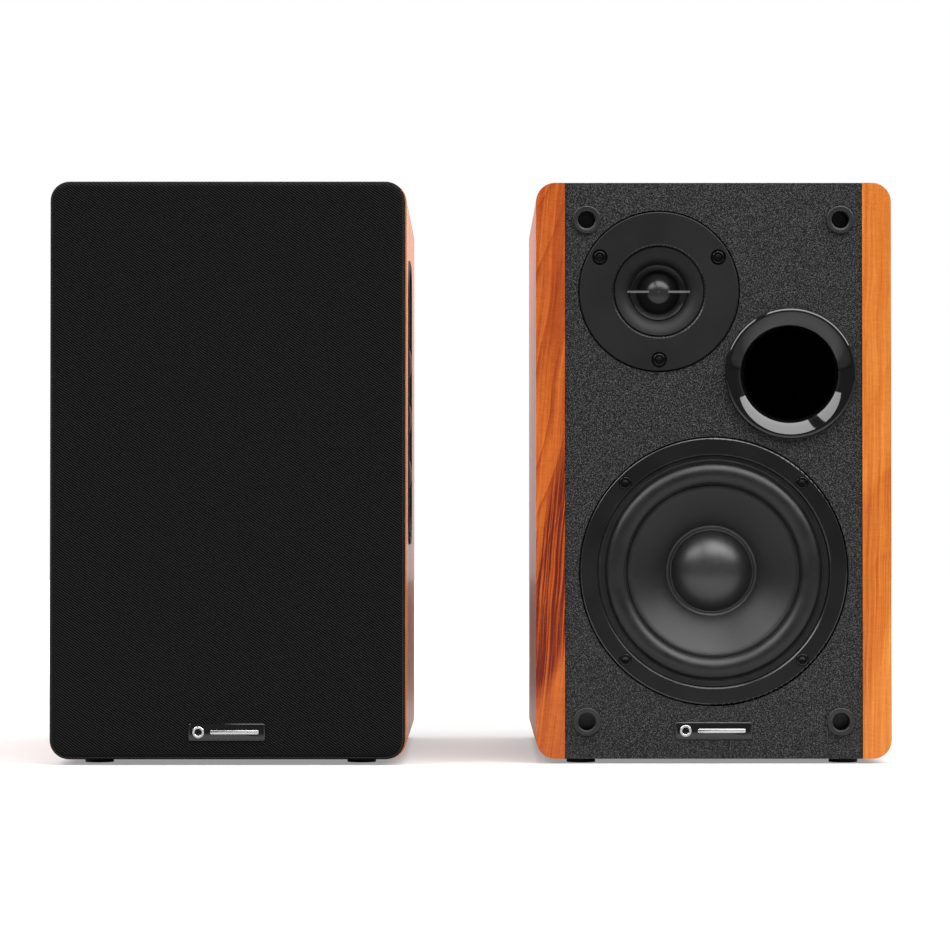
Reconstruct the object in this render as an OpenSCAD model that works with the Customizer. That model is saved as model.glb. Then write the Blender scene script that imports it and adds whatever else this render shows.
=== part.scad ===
// A pair of powered desktop speakers: an active cabinet (grille fitted) and a passive one (grille off).
// Row frame: +Z up, drivers face -Y, origin on the desk under the middle of the pair. Millimetres.

/* [Cabinet] */
// Width of each cabinet over its side panels
cab_w = 148; // [148:1:170]
// Height of each cabinet without its feet
cab_h = 240; // [236:1:280]
// Depth of each cabinet without its grille
cab_d = 195; // [185:1:240]
// Thickness of the wooden side panels
side_t = 12; // [12:0.5:15]
// Radius on the long outer edges of the side panels
corner_r = 8; // [3:0.5:11]
// Thickness of the folded top, bottom and back
shell_t = 9; // [8:0.5:12]
// Thickness of the front baffle
baffle_t = 12; // [11:0.5:15]
// How far the baffle sits behind the side panels' front edges
baffle_inset = 0.6; // [0.2:0.1:1]
// Height of the rubber feet
foot_h = 2; // [1:0.5:6]
// Clear gap between the two cabinets at rest
cabinet_gap = 54; // [40:1:300]

/* [Drivers] */
// Height of the woofer's centre above the cabinet's bottom
woofer_z = 78; // [76:1:80]
// Outer radius of the woofer's trim ring
ring_r = 55.6; // [55.2:0.1:56]
// Inner radius of the woofer's trim ring
ring_bore_r = 48.4; // [48.4:0.1:48.8]
// Distance of the tweeter's centre to the left of the cabinet's middle
tweeter_x = -22.7; // [-23:0.1:-22]
// Distance of the tweeter's centre below the cabinet's top
tweeter_drop = 45.3; // [44:0.1:46]
// Radius of the tweeter's faceplate
plate_r = 33.2; // [32:0.1:33.4]
// Distance of the port's centre to the right of the cabinet's middle
port_x = 32; // [31:0.1:33]
// Distance of the port's centre below the cabinet's top
port_drop = 79.6; // [79:0.1:82]
// Radius of the port's flange
port_flange_r = 27.3; // [26.5:0.1:27.6]
// Bore radius of the port's tube
port_bore_r = 19; // [17:0.1:19]
// Length of the port's tube behind the baffle's front
port_len = 92; // [60:1:110]

/* [Grille] */
// Distance of the grille pegs from the cabinet's middle
peg_x = 52.9; // [52:0.1:53.5]
// Distance of the grille pegs from the cabinet's top and bottom
peg_inset = 15.4; // [14:0.1:16]
// Radius of each grille socket's bore
socket_bore_r = 3.6; // [3.5:0.05:3.8]
// Thickness of the grille's frame
grille_t = 8.5; // [6:0.5:12]
// Thickness of the stretched cloth
cloth_t = 0.6; // [0.4:0.1:1]

/* [Controls] */
// Height of the recess in the side panel
tray_h = 116; // [112:1:120]
// Front-to-back width of the recess in the side panel
tray_w = 56; // [50:1:60]
// Depth of the recess below the side panel's face
tray_depth = 7; // [6:0.5:7]
// Radius of each control knob
knob_r = 8.5; // [7:0.5:10]
// Spacing of the control knobs
knob_pitch = 24; // [22:0.5:24]

/* [Rear] */
// Width of the amplifier's rear plate
amp_plate_w = 100; // [98:1:104]
// Height of the amplifier's rear plate
amp_plate_h = 190; // [186:1:196]
// Thickness of the amplifier's rear plate
amp_plate_t = 1.6; // [1.2:0.1:2]

/* [Hidden] */
$fn = 72;
eps = 0.01;

inner_w = cab_w - 2 * side_t;          // width between the side panels
cab_top = foot_h + cab_h;              // height of the cabinet's top above the desk
front_wall_y = baffle_inset;           // plane of the baffle's front
back_y = cab_d;                        // plane of the cabinet's back
grille_gap = 1.5;                      // grille frame's back face to the cabinet's front edges
badge_t = 0.8;
badge_w = 31.5;
badge_h = 7;
badge_rise = 11.6;                     // badge's centre above the cabinet's bottom
grille_front = grille_gap + grille_t + cloth_t;
rca_len = 8.5;                         // how far an input socket's barrel stands out of the plate
rear_reach = back_y + amp_plate_t + rca_len;
y_mid = (rear_reach - grille_front - badge_t) / 2;   // puts the origin under the middle of the pair
pitch = cab_w + cabinet_gap;

woofer_pos = [0, front_wall_y, foot_h + woofer_z];
tweeter_pos = [tweeter_x, front_wall_y, cab_top - tweeter_drop];
port_pos = [port_x, front_wall_y, cab_top - port_drop];

// Screws: one size of black socket-head screw is used all round
head_r = 2.5;
head_h = 1.8;
shank_r = 1.5;
shank_len = 8.5;
screw_clear = 0.06;                    // radial gap between a shank and its hole
plate_clear = 0.1;                     // the same in the plates and flanges the screws hold
hex_r = 1.45;                          // half the width across corners of the head's socket
hex_depth = 1.2;
woofer_screw_r = 52.1;                 // bolt circle radius of the woofer
tweeter_screw_r = 28.5;                // bolt circle radius of the tweeter
woofer_screw_angles = [45, 135, 225, 315];
tweeter_screw_angles = [90, 210, 330];

// Depths below the baffle's front, positive into the cabinet
rebate_woofer = 4;
rebate_tweeter = 3;
rebate_gap = 0.6;                      // radial gap round the trim ring and the faceplate
tweeter_hole_r = 24;
edge_r = 0.6;                          // rounding on the trim ring's and the faceplate's edges
ring_proud = 0.5;
ring_chamfer = 0.6;                    // chamfer on the trim ring's inner edge
plate_proud = 0.6;
flange_top = 2.5;                      // front face of the woofer frame's flange
seat_depth = 1.3;                      // depth of the screw heads' seats behind the baffle's front
seat_gap = 0.15;                       // radial gap round a screw head in the trim ring
port_proud = 3;
port_edge_r = 1.4;                     // rounding on the port's crest
crest_r = port_flange_r - port_edge_r;
crest_turn = 20;                       // slope at which the crest's rounding meets the flare
neck_turn = 45;                        // slope at which the flare meets the neck's rounding
neck_r = port_bore_r + 1.2;
neck_round = (neck_r - port_bore_r) / (1 - sin(neck_turn));
flare_top_r = crest_r - port_edge_r * sin(crest_turn);
flare_top_depth = port_edge_r - port_edge_r * cos(crest_turn) - port_proud;
flare_r = (flare_top_r - neck_r) / (sin(neck_turn) - sin(crest_turn));
flare_x = flare_top_r + flare_r * sin(crest_turn);
flare_z = flare_top_depth + flare_r * cos(crest_turn);
neck_depth = flare_z - (flare_r - neck_round) * cos(neck_turn);

// ---------------------------------------------------------------- placing

module at_active() translate([-pitch / 2, -y_mid, 0]) children();
module at_passive() translate([pitch / 2, -y_mid, 0]) children();

// Turns a profile's +Z into depth behind the baffle's front
module on_baffle(pos) translate(pos) rotate([-90, 0, 0]) children();

// Turns a profile's +Z outwards from the cabinet's back
module on_back(x, y, z) translate([x, y, z]) rotate([-90, 0, 0]) children();

// Rounded box centred on the origin in X and Z, running from y0 to y1
module round_box(w, h, r, y0, y1)
  translate([0, y1, 0]) rotate([90, 0, 0]) linear_extrude(y1 - y0) round_rect(w, h, r);

module round_rect(w, h, r) {
  square([w - 2 * r, h], center = true);
  square([w, h - 2 * r], center = true);
  for (x = [-1, 1], y = [-1, 1])
    translate([x * (w / 2 - r), y * (h / 2 - r)]) circle(r = r);
}

module band(r0, r1, z0, z1) translate([r0, z0]) square([r1 - r0, z1 - z0]);

module tube(r0, r1, z0, z1) rotate_extrude() band(r0, r1, z0, z1);

module disc(r, z0, z1) translate([0, 0, z0]) cylinder(r = r, h = z1 - z0);

// ---------------------------------------------------------------- fasteners

// A socket-head screw, its head's underside at z = 0 and its shank running to +Z
module screw() {
  difference() {
    union() {
      disc(head_r, -head_h, 0);
      disc(shank_r, -eps, shank_len);
    }
    disc_hex(hex_r, -head_h - eps, -head_h + hex_depth);
  }
}

module disc_hex(r, z0, z1) translate([0, 0, z0]) cylinder(r = r, h = z1 - z0, $fn = 6);

module around(angles, r) for (a = angles) rotate([0, 0, a]) translate([r, 0, 0]) children();

module driver_screws() {
  on_baffle(woofer_pos)
    around(woofer_screw_angles, woofer_screw_r) translate([0, 0, seat_depth]) screw();
  on_baffle(tweeter_pos)
    around(tweeter_screw_angles, tweeter_screw_r) translate([0, 0, seat_depth]) screw();
}

// Positions of the rear screws, as x and z on the back
amp_z = foot_h + cab_h / 2;
amp_screw_x = amp_plate_w / 2 - 3;
amp_screw_z = amp_plate_h / 2 - 3.5;
amp_screw_spots = [for (x = [-1, 1], z = [-1, 0, 1]) [x * amp_screw_x, amp_z + z * amp_screw_z]];
cup_z = foot_h + cab_h / 2;
cup_w = 84;
cup_h = 60;
cup_screw_inset = 4;                    // screws' distance from the cup's edges
cup_screw_spots = [for (x = [-1, 1], z = [-1, 1])
  [x * (cup_w / 2 - cup_screw_inset), cup_z + z * (cup_h / 2 - cup_screw_inset)]];
cup_flange_t = 2.5;

// Screws driven forwards into the back from a plate of thickness t
module rear_screws(spots, t)
  for (s = spots) translate([s[0], back_y + t, s[1]]) rotate([90, 0, 0]) screw();

module rear_screw_holes(spots, r, y0, y1)
  for (s = spots) on_back(s[0], y0, s[1]) cylinder(r = r, h = y1 - y0);

// ---------------------------------------------------------------- cabinet

// Inner edge square, outer two corners rounded
module side_profile()
  translate([inner_w / 2, 0]) intersection() {
    square([side_t, cab_h]);
    union() {
      square([side_t - corner_r, cab_h]);
      translate([0, corner_r]) square([side_t, cab_h - 2 * corner_r]);
      for (z = [corner_r, cab_h - corner_r]) translate([side_t - corner_r, z]) circle(r = corner_r);
    }
  }

module side_panel()
  translate([0, cab_d, foot_h]) rotate([90, 0, 0]) linear_extrude(cab_d) side_profile();

module side_panels(recess) {
  color("chocolate") mirror([1, 0, 0]) side_panel();
  color("chocolate") difference() {
    side_panel();
    if (recess) tray_prism(tray_w + 2 * tray_wall + 0.4, tray_h + 2 * tray_wall + 0.4,
                           tray_corner + tray_wall, inner_w / 2 - 1, cab_w / 2 + 1);
  }
}

module shell(opening_w, opening_h, opening_z, spots) {
  color([0.2, 0.2, 0.2]) difference() {
    translate([-inner_w / 2, front_wall_y + baffle_t, foot_h])
      cube([inner_w, back_y - front_wall_y - baffle_t, cab_h]);
    translate([-inner_w / 2 - 1, front_wall_y + baffle_t - 1, foot_h + shell_t])
      cube([inner_w + 2, back_y - shell_t - front_wall_y - baffle_t + 1, cab_h - 2 * shell_t]);
    translate([-opening_w / 2, back_y - shell_t - 1, opening_z - opening_h / 2])
      cube([opening_w, shell_t + 2, opening_h]);
    rear_screw_holes(spots, shank_r + screw_clear, back_y - shell_t - 1, back_y + 1);
  }
}

module baffle() {
  color([0.22, 0.22, 0.22]) difference() {
    translate([-inner_w / 2, front_wall_y, foot_h]) cube([inner_w, baffle_t, cab_h]);
    on_baffle(woofer_pos) {
      disc(ring_r + rebate_gap, -1, rebate_woofer);
      disc(ring_bore_r - 0.6, -1, baffle_t + 1);
      around(woofer_screw_angles, woofer_screw_r) disc(shank_r + screw_clear, 0, baffle_t + 1);
    }
    on_baffle(tweeter_pos) {
      disc(plate_r + rebate_gap, -1, rebate_tweeter);
      disc(tweeter_hole_r, -1, baffle_t + 1);
      around(tweeter_screw_angles, tweeter_screw_r) disc(shank_r + screw_clear, 0, baffle_t + 1);
    }
    on_baffle(port_pos) disc(port_bore_r + 4.2, -1, baffle_t + 1);
    for (p = peg_spots())
      on_baffle([p[0], front_wall_y, p[1]]) disc(socket_body_r + 0.05, -1, socket_len + 0.1);
  }
}

// Positions of the grille's pegs and sockets, as x and z
function peg_spots() =
  [for (x = [-1, 1], z = [foot_h + peg_inset, cab_top - peg_inset]) [x * peg_x, z]];

foot_r = 6;
foot_inset = 14;
module feet()
  color([0.1, 0.1, 0.1])
    for (x = [-1, 1], y = [foot_inset, cab_d - foot_inset])
      translate([x * (inner_w / 2 - foot_inset / 2), y, 0]) cylinder(r = foot_r, h = foot_h);

socket_body_r = 4.7;
socket_len = 10;
socket_lip_r = 5.8;
socket_proud = 1.2;
module grille_sockets()
  color([0.15, 0.15, 0.15]) for (p = peg_spots()) on_baffle([p[0], front_wall_y, p[1]]) difference() {
    union() {
      disc(socket_lip_r, -socket_proud, 0);
      disc(socket_body_r, -eps, socket_len);
    }
    disc(socket_bore_r, -socket_proud - 1, socket_len - 1);
  }

// A flared mouth outside the baffle and a tube behind it
module port()
  color([0.04, 0.04, 0.04]) on_baffle(port_pos) rotate_extrude() difference() {
    union() {
      band(port_bore_r, port_flange_r, port_edge_r - port_proud, 0);
      band(port_bore_r, crest_r, -port_proud, 0);
      crest();
      band(port_bore_r, port_bore_r + 4, -eps, neck_depth + 1);
      band(port_bore_r, port_bore_r + 2, neck_depth, port_len);
    }
    difference() {
      band(port_bore_r - 1, crest_r, -port_proud - 1, neck_depth);
      crest();
      intersection() {
        translate([flare_x, flare_z]) circle(r = flare_r);
        band(neck_r, flare_top_r, -port_proud - 1, neck_depth + 1);
      }
      translate([port_bore_r + neck_round, neck_depth]) circle(r = neck_round);
    }
  }

module crest() translate([crest_r, port_edge_r - port_proud]) circle(r = port_edge_r);

// A small plate with a generic mark: a ring and a bar
mark_t = 0.25;                         // how far the mark stands out of its plate
module badge(y_face, z) {
  y0 = y_face - badge_t;
  translate([0, 0, z]) {
    color([0.06, 0.06, 0.06]) round_box(badge_w, badge_h, 0.8, y0 + mark_t, y_face);
    color("silver") translate([-badge_w / 2 + 4, y0, 0]) rotate([-90, 0, 0]) tube(1.5, 2.4, 0, mark_t);
    color("silver") translate([3.2, 0, 0]) round_box(20, 1.6, 0.7, y0, y0 + mark_t);
  }
}

// ---------------------------------------------------------------- woofer

roll_r = 40.8;                         // middle radius of the surround's roll
roll_size = 4.6;                       // half width of the roll
roll_arc_r = 5.05;                     // radius of the roll's arched section
roll_sunk = sqrt(roll_arc_r * roll_arc_r - roll_size * roll_size);
skin = 0.7;                            // thickness of the surround
lip_depth = 2.1;                       // depth of the flat lips either side of the roll
cone_lip_r = 34.6;                     // where the cone's flat rim ends and its slope starts
cone_top_r = roll_r - roll_size;
cone_edge_depth = lip_depth + 0.6;
cone_neck_depth = 20;
coil_r = 12.5;
former_t = 0.25;
cone_neck_r = coil_r + former_t;
gap_r = 13.6;                          // inner radius of the top plate
motor_front = 32.5;                    // depth of the top plate's front face
top_plate_t = 5;
magnet_t = 13;
magnet_r = 35;
steel_r = 32;
spider_depth = 25;

module woofer_ring()
  color([0.12, 0.12, 0.12]) on_baffle(woofer_pos) difference() {
    rotate_extrude() {
      band(ring_bore_r, ring_r - edge_r, -ring_proud, flange_top);
      band(ring_bore_r, ring_r, -ring_proud + edge_r, flange_top);
      translate([ring_r - edge_r, -ring_proud + edge_r]) circle(r = edge_r);
    }
    rotate_extrude()
      polygon([[ring_bore_r - 1, -ring_proud - 1], [ring_bore_r + ring_chamfer + 1, -ring_proud - 1],
               [ring_bore_r - 1, -ring_proud + ring_chamfer + 1]]);
    around(woofer_screw_angles, woofer_screw_r) {
      disc(head_r + seat_gap, -1, seat_depth);
      disc(shank_r + plate_clear, 0, flange_top + 1);
    }
  }

// Stamped basket: flange, windowed skirt, spider shelf and magnet seat
module woofer_frame() {
  seat_front = motor_front - 1.4;
  color([0.16, 0.16, 0.17]) on_baffle(woofer_pos) difference() {
    rotate_extrude() {
      band(ring_bore_r - 1.8, ring_r - 0.2, flange_top, rebate_woofer);
      polygon([[ring_bore_r - 1.8, flange_top], [ring_bore_r - 1, flange_top], [ring_bore_r - 1, 8],
               [37, spider_depth + 1.5], [37, seat_front + 1.4], [35.6, seat_front + 1.4],
               [35.6, spider_depth + 1], [ring_bore_r - 2.4, 7.4], [ring_bore_r - 2.4, flange_top]]);
      band(31.5, 36, spider_depth + 0.3, spider_depth + 1.5);
      band(gap_r + 1, 36, seat_front, seat_front + 1.4);
    }
    for (i = [0 : 5]) rotate([0, 0, 60 * i + 30])
      translate([30, -11, 10]) cube([30, 22, spider_depth - 11]);
    around(woofer_screw_angles, woofer_screw_r) disc(shank_r + plate_clear, 0, rebate_woofer + 1);
  }
}

// Rubber surround: flange, arched roll and inner lip
module woofer_surround()
  color([0.14, 0.14, 0.14]) on_baffle(woofer_pos) rotate_extrude() {
    band(roll_r + roll_size - 0.3, ring_bore_r - 0.15, lip_depth - 0.4, flange_top);
    intersection() {
      translate([roll_r, lip_depth + roll_sunk]) difference() {
        circle(r = roll_arc_r);
        circle(r = roll_arc_r - skin);
      }
      band(roll_r - roll_arc_r, roll_r + roll_arc_r, lip_depth - roll_arc_r, lip_depth + 0.35);
    }
    band(cone_lip_r, roll_r - roll_size + 0.4, lip_depth, lip_depth + 0.6);
  }

module woofer_cone()
  color([0.2, 0.2, 0.2]) on_baffle(woofer_pos) rotate_extrude() {
    polygon([[cone_top_r, cone_edge_depth], [cone_lip_r, cone_edge_depth], [cone_neck_r, cone_neck_depth],
             [cone_neck_r, cone_neck_depth + 1], [cone_lip_r + 0.2, cone_edge_depth + 0.9],
             [cone_top_r, cone_edge_depth + 0.6]]);
  }

cap_r = 16.8;
cap_rise = 8;
cap_depth = 14.5;
cap_skirt = 2.4;                       // width of the flat ring that is glued to the cone
module woofer_dust_cap() {
  ball_r = (cap_r * cap_r + cap_rise * cap_rise) / (2 * cap_rise);
  color([0.2, 0.2, 0.2]) on_baffle(woofer_pos) rotate_extrude() {
    intersection() {
      translate([0, cap_depth - cap_rise + ball_r]) difference() {
        circle(r = ball_r);
        circle(r = ball_r - 0.5);
      }
      band(0, cap_r + 1, cap_depth - cap_rise - 1, cap_depth + 0.2);
    }
    band(cap_r - 0.6, cap_r + cap_skirt, cap_depth - 0.2, cap_depth + 0.35);
  }
}

// Paper former and its winding
module woofer_voice_coil()
  on_baffle(woofer_pos) {
    color("tan") tube(coil_r, coil_r + former_t, cone_neck_depth - 1, 38);
    color("peru") tube(coil_r + former_t, coil_r + 0.8, 31, 38);
  }

// Corrugated cloth disc between the former and the frame's shelf
module woofer_spider() {
  waves = 3;
  wave = (31 - coil_r - 2) / waves / 2;
  color("goldenrod") on_baffle(woofer_pos) rotate_extrude() {
    band(coil_r + 0.3, coil_r + 2.05, spider_depth - 0.25, spider_depth + 0.25);
    for (i = [0 : 2 * waves - 1])
      translate([coil_r + 2 + wave * (i + 0.5), spider_depth]) intersection() {
        difference() {
          circle(r = wave / 2 + 0.25);
          circle(r = wave / 2 - 0.25);
        }
        translate([-3, i % 2 == 0 ? -3 : 0]) square([6, 3]);
      }
    band(30.9, 35, spider_depth - 0.25, spider_depth + 0.25);
  }
}

// Top plate, ring magnet and vented T-yoke
module woofer_motor() {
  plate_end = motor_front + top_plate_t;
  magnet_end = plate_end + magnet_t;
  on_baffle(woofer_pos) {
    color("silver") tube(gap_r, steel_r, motor_front, plate_end);
    color([0.25, 0.25, 0.27]) tube(17, magnet_r, plate_end, magnet_end);
    color("silver") difference() {
      union() {
        disc(steel_r, magnet_end, magnet_end + top_plate_t);
        disc(coil_r - 0.3, motor_front, magnet_end + eps);
      }
      disc(3.5, motor_front - 1, magnet_end + top_plate_t + 1);
    }
  }
}

// ---------------------------------------------------------------- tweeter

horn_r = 19.4;                         // edge of the waveguide on the faceplate
throat_r = 12.15;
horn_step = 0.3;                       // bevelled step round the waveguide
horn_flare = 8;                        // radius of the waveguide's curved section
horn_x = horn_r - 0.2;
horn_z = horn_step - plate_proud + horn_flare;
horn_depth = horn_z - sqrt(horn_flare * horn_flare - (horn_x - throat_r) * (horn_x - throat_r));
hub_depth = 7.4;                       // depth of the faceplate's hub
bar_depth = 2.6;                       // front of the bar across the throat
bar_t = 0.8;
bar_h = 0.9;
bar_half = throat_r + 1.9;             // half length, its ends sunk in the waveguide
bullet_r = 5;
bullet_front = 1.4;
bullet_ball_r = 7.25;
dome_r = 9;
dome_rise = 2.6;
dome_base = 8.2;
cuff_r = dome_r + 2.45;                // outer edge of the dome's sloping surround
cuff_rise = 1.35;

// Faceplate with its waveguide, and a bullet held by a thin bar across the throat
module tweeter_faceplate()
  color([0.13, 0.13, 0.13]) on_baffle(tweeter_pos) {
    difference() {
      rotate_extrude() {
        difference() {
          union() {
            band(0, plate_r - edge_r, -plate_proud, rebate_tweeter);
            band(0, plate_r, 0, rebate_tweeter);
            translate([plate_r - edge_r, edge_r - plate_proud]) circle(r = edge_r);
            band(0, horn_r + 3, 0, hub_depth);
          }
          band(0, throat_r, -plate_proud - 1, hub_depth + 1);
          band(0, horn_r, -plate_proud - 1, horn_step - plate_proud);
          polygon([[horn_r - 1, -plate_proud - 1], [horn_r + horn_step + 1, -plate_proud - 1],
                   [horn_r - 1, horn_step - plate_proud + 1]]);
          difference() {
            band(0, horn_x, -plate_proud, horn_depth);
            translate([horn_x, horn_z]) circle(r = horn_flare);
          }
        }
      }
      around(tweeter_screw_angles, tweeter_screw_r) {
        disc(head_r + 0.8, -1, seat_depth);
        disc(shank_r + plate_clear, 0, rebate_tweeter + 1);
      }
    }
    translate([-bar_half, -bar_h / 2, bar_depth]) cube([2 * bar_half, bar_h, bar_t]);
    rotate_extrude() intersection() {
      translate([0, bullet_front + bullet_ball_r]) circle(r = bullet_ball_r);
      band(0, bullet_r, bullet_front, bar_depth + bar_t);
    }
  }

// Silk dome with its sloping surround, and the coil under it
module tweeter_dome() {
  ball_r = (dome_r * dome_r + dome_rise * dome_rise) / (2 * dome_rise);
  on_baffle(tweeter_pos) {
    color([0.1, 0.1, 0.1]) rotate_extrude() {
      intersection() {
        translate([0, dome_base - dome_rise + ball_r]) difference() {
          circle(r = ball_r);
          circle(r = ball_r - 0.3);
        }
        band(0, dome_r + 0.1, 0, dome_base + 0.1);
      }
      polygon([[dome_r - 0.2, dome_base - 0.1], [dome_r + 0.3, dome_base - 0.1],
               [cuff_r, dome_base - cuff_rise], [cuff_r, dome_base - cuff_rise + 0.3],
               [dome_r + 0.3, dome_base + 0.2], [dome_r - 0.2, dome_base + 0.2]]);
    }
    color("peru") tube(dome_r - 0.1, dome_r + 0.35, dome_base + 0.1, dome_base + 5);
  }
}

// Clamp ring, top plate, ring magnet and T-yoke
tweeter_yoke = hub_depth + 12.4;
module tweeter_motor()
  on_baffle(tweeter_pos) {
    color([0.1, 0.1, 0.1]) tube(dome_r + 2.5, 18, hub_depth, hub_depth + 1.4);
    color("silver") tube(dome_r + 0.65, 19, hub_depth + 1.4, hub_depth + 4.4);
    color([0.25, 0.25, 0.27]) tube(11.5, 22, hub_depth + 4.4, tweeter_yoke);
    color("silver") {
      disc(19, tweeter_yoke, tweeter_yoke + 3.5);
      disc(dome_r - 0.4, hub_depth + 1.8, tweeter_yoke + eps);
    }
  }

// ---------------------------------------------------------------- grille

grille_w = cab_w - 1 - 2 * cloth_t;
grille_h = cab_h - 0.6 - 2 * cloth_t;
grille_rim = 11.5;
peg_r = 3.55;
grille_z = foot_h + cab_h / 2;

module grille_frame()
  color([0.12, 0.12, 0.12]) {
    difference() {
      translate([0, 0, grille_z])
        round_box(grille_w, grille_h, corner_r - cloth_t, -grille_gap - grille_t, -grille_gap);
      translate([0, 0, grille_z])
        round_box(grille_w - 2 * grille_rim, grille_h - 2 * grille_rim, 3,
                  -grille_gap - grille_t - 1, -grille_gap + 1);
    }
    for (p = peg_spots()) on_baffle([p[0], -grille_gap, p[1]]) {
      translate([0, 0, -grille_t]) difference() {
        cylinder(r = 11, h = grille_t);
        // The boss stays clear of the cloth
        translate([-20, -20, -1]) cube([40, 40, 3]);
      }
      disc(5, -eps, grille_gap + front_wall_y - socket_proud);
      disc(peg_r, -eps, front_wall_y + grille_gap + socket_len - 2.5);
    }
  }

module grille_cloth()
  color([0.08, 0.08, 0.08]) translate([0, 0, grille_z]) difference() {
    round_box(grille_w + 2 * cloth_t, grille_h + 2 * cloth_t, corner_r, -grille_front, -grille_gap - 0.2);
    round_box(grille_w, grille_h, corner_r - cloth_t, -grille_gap - grille_t, -grille_gap + 1);
  }

// ---------------------------------------------------------------- side controls

tray_wall = 1.6;
tray_corner = 12;
tray_y = 68;                           // centre of the recess behind the cabinet's front
tray_z = foot_h + cab_h - 89.8;
tray_face = cab_w / 2;
tray_floor = tray_face - tray_depth;
knob_z = [tray_z + 17.3, tray_z + 17.3 - knob_pitch, tray_z + 17.3 - 2 * knob_pitch];
pcb_x = cab_w / 2 - 17;
pcb_t = 1.6;
stem_r = 3;

// A rounded prism on the right-hand side, from x0 to x1, centred on the recess
module tray_prism(w, h, r, x0, x1)
  translate([x0, tray_y, tray_z]) rotate([90, 0, 90]) linear_extrude(x1 - x0) round_rect(w, h, r);

module control_panel()
  color([0.05, 0.05, 0.05]) difference() {
    union() {
      tray_prism(tray_w + 2 * tray_wall, tray_h + 2 * tray_wall, tray_corner + tray_wall,
                 tray_floor - tray_wall, tray_face + 0.6);
      tray_prism(tray_w + 2 * tray_wall + 3, tray_h + 2 * tray_wall + 3, tray_corner + tray_wall + 1.5,
                 tray_face, tray_face + 0.6);
      for (z = [-1, 1]) translate([pcb_x + pcb_t, tray_y, tray_z + z * 50])
        rotate([0, 90, 0]) cylinder(r = 3, h = tray_floor - pcb_x - pcb_t - 1);
    }
    tray_prism(tray_w, tray_h, tray_corner, tray_floor, tray_face + 2);
    for (z = knob_z)
      translate([tray_floor - 3, tray_y, z]) rotate([0, 90, 0]) cylinder(r = stem_r + 0.5, h = 4);
    tray_window(tray_floor - 3, tray_floor + 1, 0.1);
  }

window_w = 10;
window_h = 16;
window_z = tray_z + 40;
module tray_window(x0, x1, grow)
  translate([x0, tray_y, window_z]) rotate([90, 0, 90]) linear_extrude(x1 - x0)
    round_rect(window_w + 2 * grow, window_h + 2 * grow, 3 + grow);

module ir_window() color([0.25, 0.02, 0.02]) tray_window(tray_floor - tray_wall, tray_floor + 0.5, 0);

// A knob with a crowned face, a pointer groove and a stem that reaches into its potentiometer
crown_r = 22;
module knob(z) {
  x0 = tray_floor + 0.4;
  rise = tray_depth + 0.6;
  color([0.09, 0.09, 0.09]) translate([x0, tray_y, z]) rotate([0, 90, 0]) difference() {
    union() {
      rotate_extrude() intersection() {
        translate([0, rise - crown_r]) circle(r = crown_r, $fn = 180);
        band(0, knob_r, 0, rise);
      }
      disc(stem_r, -6, eps);
    }
    translate([-knob_r - 1, -0.5, rise - 0.5]) cube([6, 1, 1]);
    for (i = [0 : 11])
      rotate([0, 0, 30 * i + 15]) translate([knob_r + 0.6, 0, -1]) cylinder(r = 1, h = rise + 2);
  }
}

// Board with three potentiometers and the infrared receiver, held by the panel's two posts
pot_size = 11;
module control_board() {
  pot_h = tray_floor - tray_wall - pcb_x - pcb_t - 0.2;
  color("darkgreen") translate([pcb_x, tray_y - 21, tray_z - 54]) cube([pcb_t, 42, 108]);
  for (z = knob_z) color("gray") difference() {
    translate([pcb_x + pcb_t, tray_y - pot_size / 2, z - pot_size / 2]) cube([pot_h, pot_size, pot_size]);
    translate([pcb_x + pcb_t + 1, tray_y, z]) rotate([0, 90, 0]) cylinder(r = stem_r + 0.05, h = 20);
  }
  color([0.1, 0.1, 0.1]) translate([pcb_x + pcb_t, tray_y - 4, window_z - 4]) cube([3.5, 8, 8]);
}

// ---------------------------------------------------------------- rear: terminals

clip_w = 46;                           // spring-clip block
clip_h = 28;
lever_w = 9;
lever_x = 10;                          // each lever's distance from the block's middle
pivot_in = 5;                          // pivot's depth behind the block's face
pivot_up = 3;
lever_reach = 11;
lever_t = 2.4;
wire_r = 1.6;
wire_drop = 7;                         // wire hole's distance below the block's middle
wire_len = 9;

// Space for the lever's root and its 20 degree swing
module lever_slots(face_y, z)
  for (x = [-lever_x, lever_x]) translate([x, face_y - pivot_in, z + pivot_up]) {
    rotate([0, 90, 0]) cylinder(r = 2.15, h = lever_w + 0.6, center = true);
    translate([-lever_w / 2 - 0.3, 0, 0]) rotate([90, 0, 90]) linear_extrude(lever_w + 0.6)
      polygon([[0, 1.5], [pivot_in + 1, 1.5], [pivot_in + 1, -4], [0, -1.9]]);
  }

module wire_holes(face_y, z)
  for (x = [-lever_x, lever_x]) translate([x, face_y + 1, z - wire_drop]) rotate([90, 0, 0])
    cylinder(r = wire_r, h = wire_len + 1);

module lever(x, face_y, z)
  translate([x, face_y - pivot_in, z + pivot_up]) {
    rotate([0, 90, 0]) cylinder(r = 2, h = lever_w, center = true);
    translate([-lever_w / 2, 0, -lever_t / 2]) cube([lever_w, lever_reach - 1.2, lever_t]);
    translate([0, lever_reach - 1.2, 0])
      rotate([0, 90, 0]) cylinder(r = lever_t / 2, h = lever_w, center = true);
  }

out_z = amp_z + 6;
out_face = back_y + amp_plate_t + 2.2;
module output_terminal()
  color([0.08, 0.08, 0.08]) difference() {
    translate([0, 0, out_z]) union() {
      round_box(clip_w, clip_h, 2, back_y + amp_plate_t, out_face);
      round_box(clip_w - 6, clip_h - 6, 1, back_y - 14, out_face - 1);
    }
    lever_slots(out_face, out_z);
    wire_holes(out_face, out_z);
  }

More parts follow.
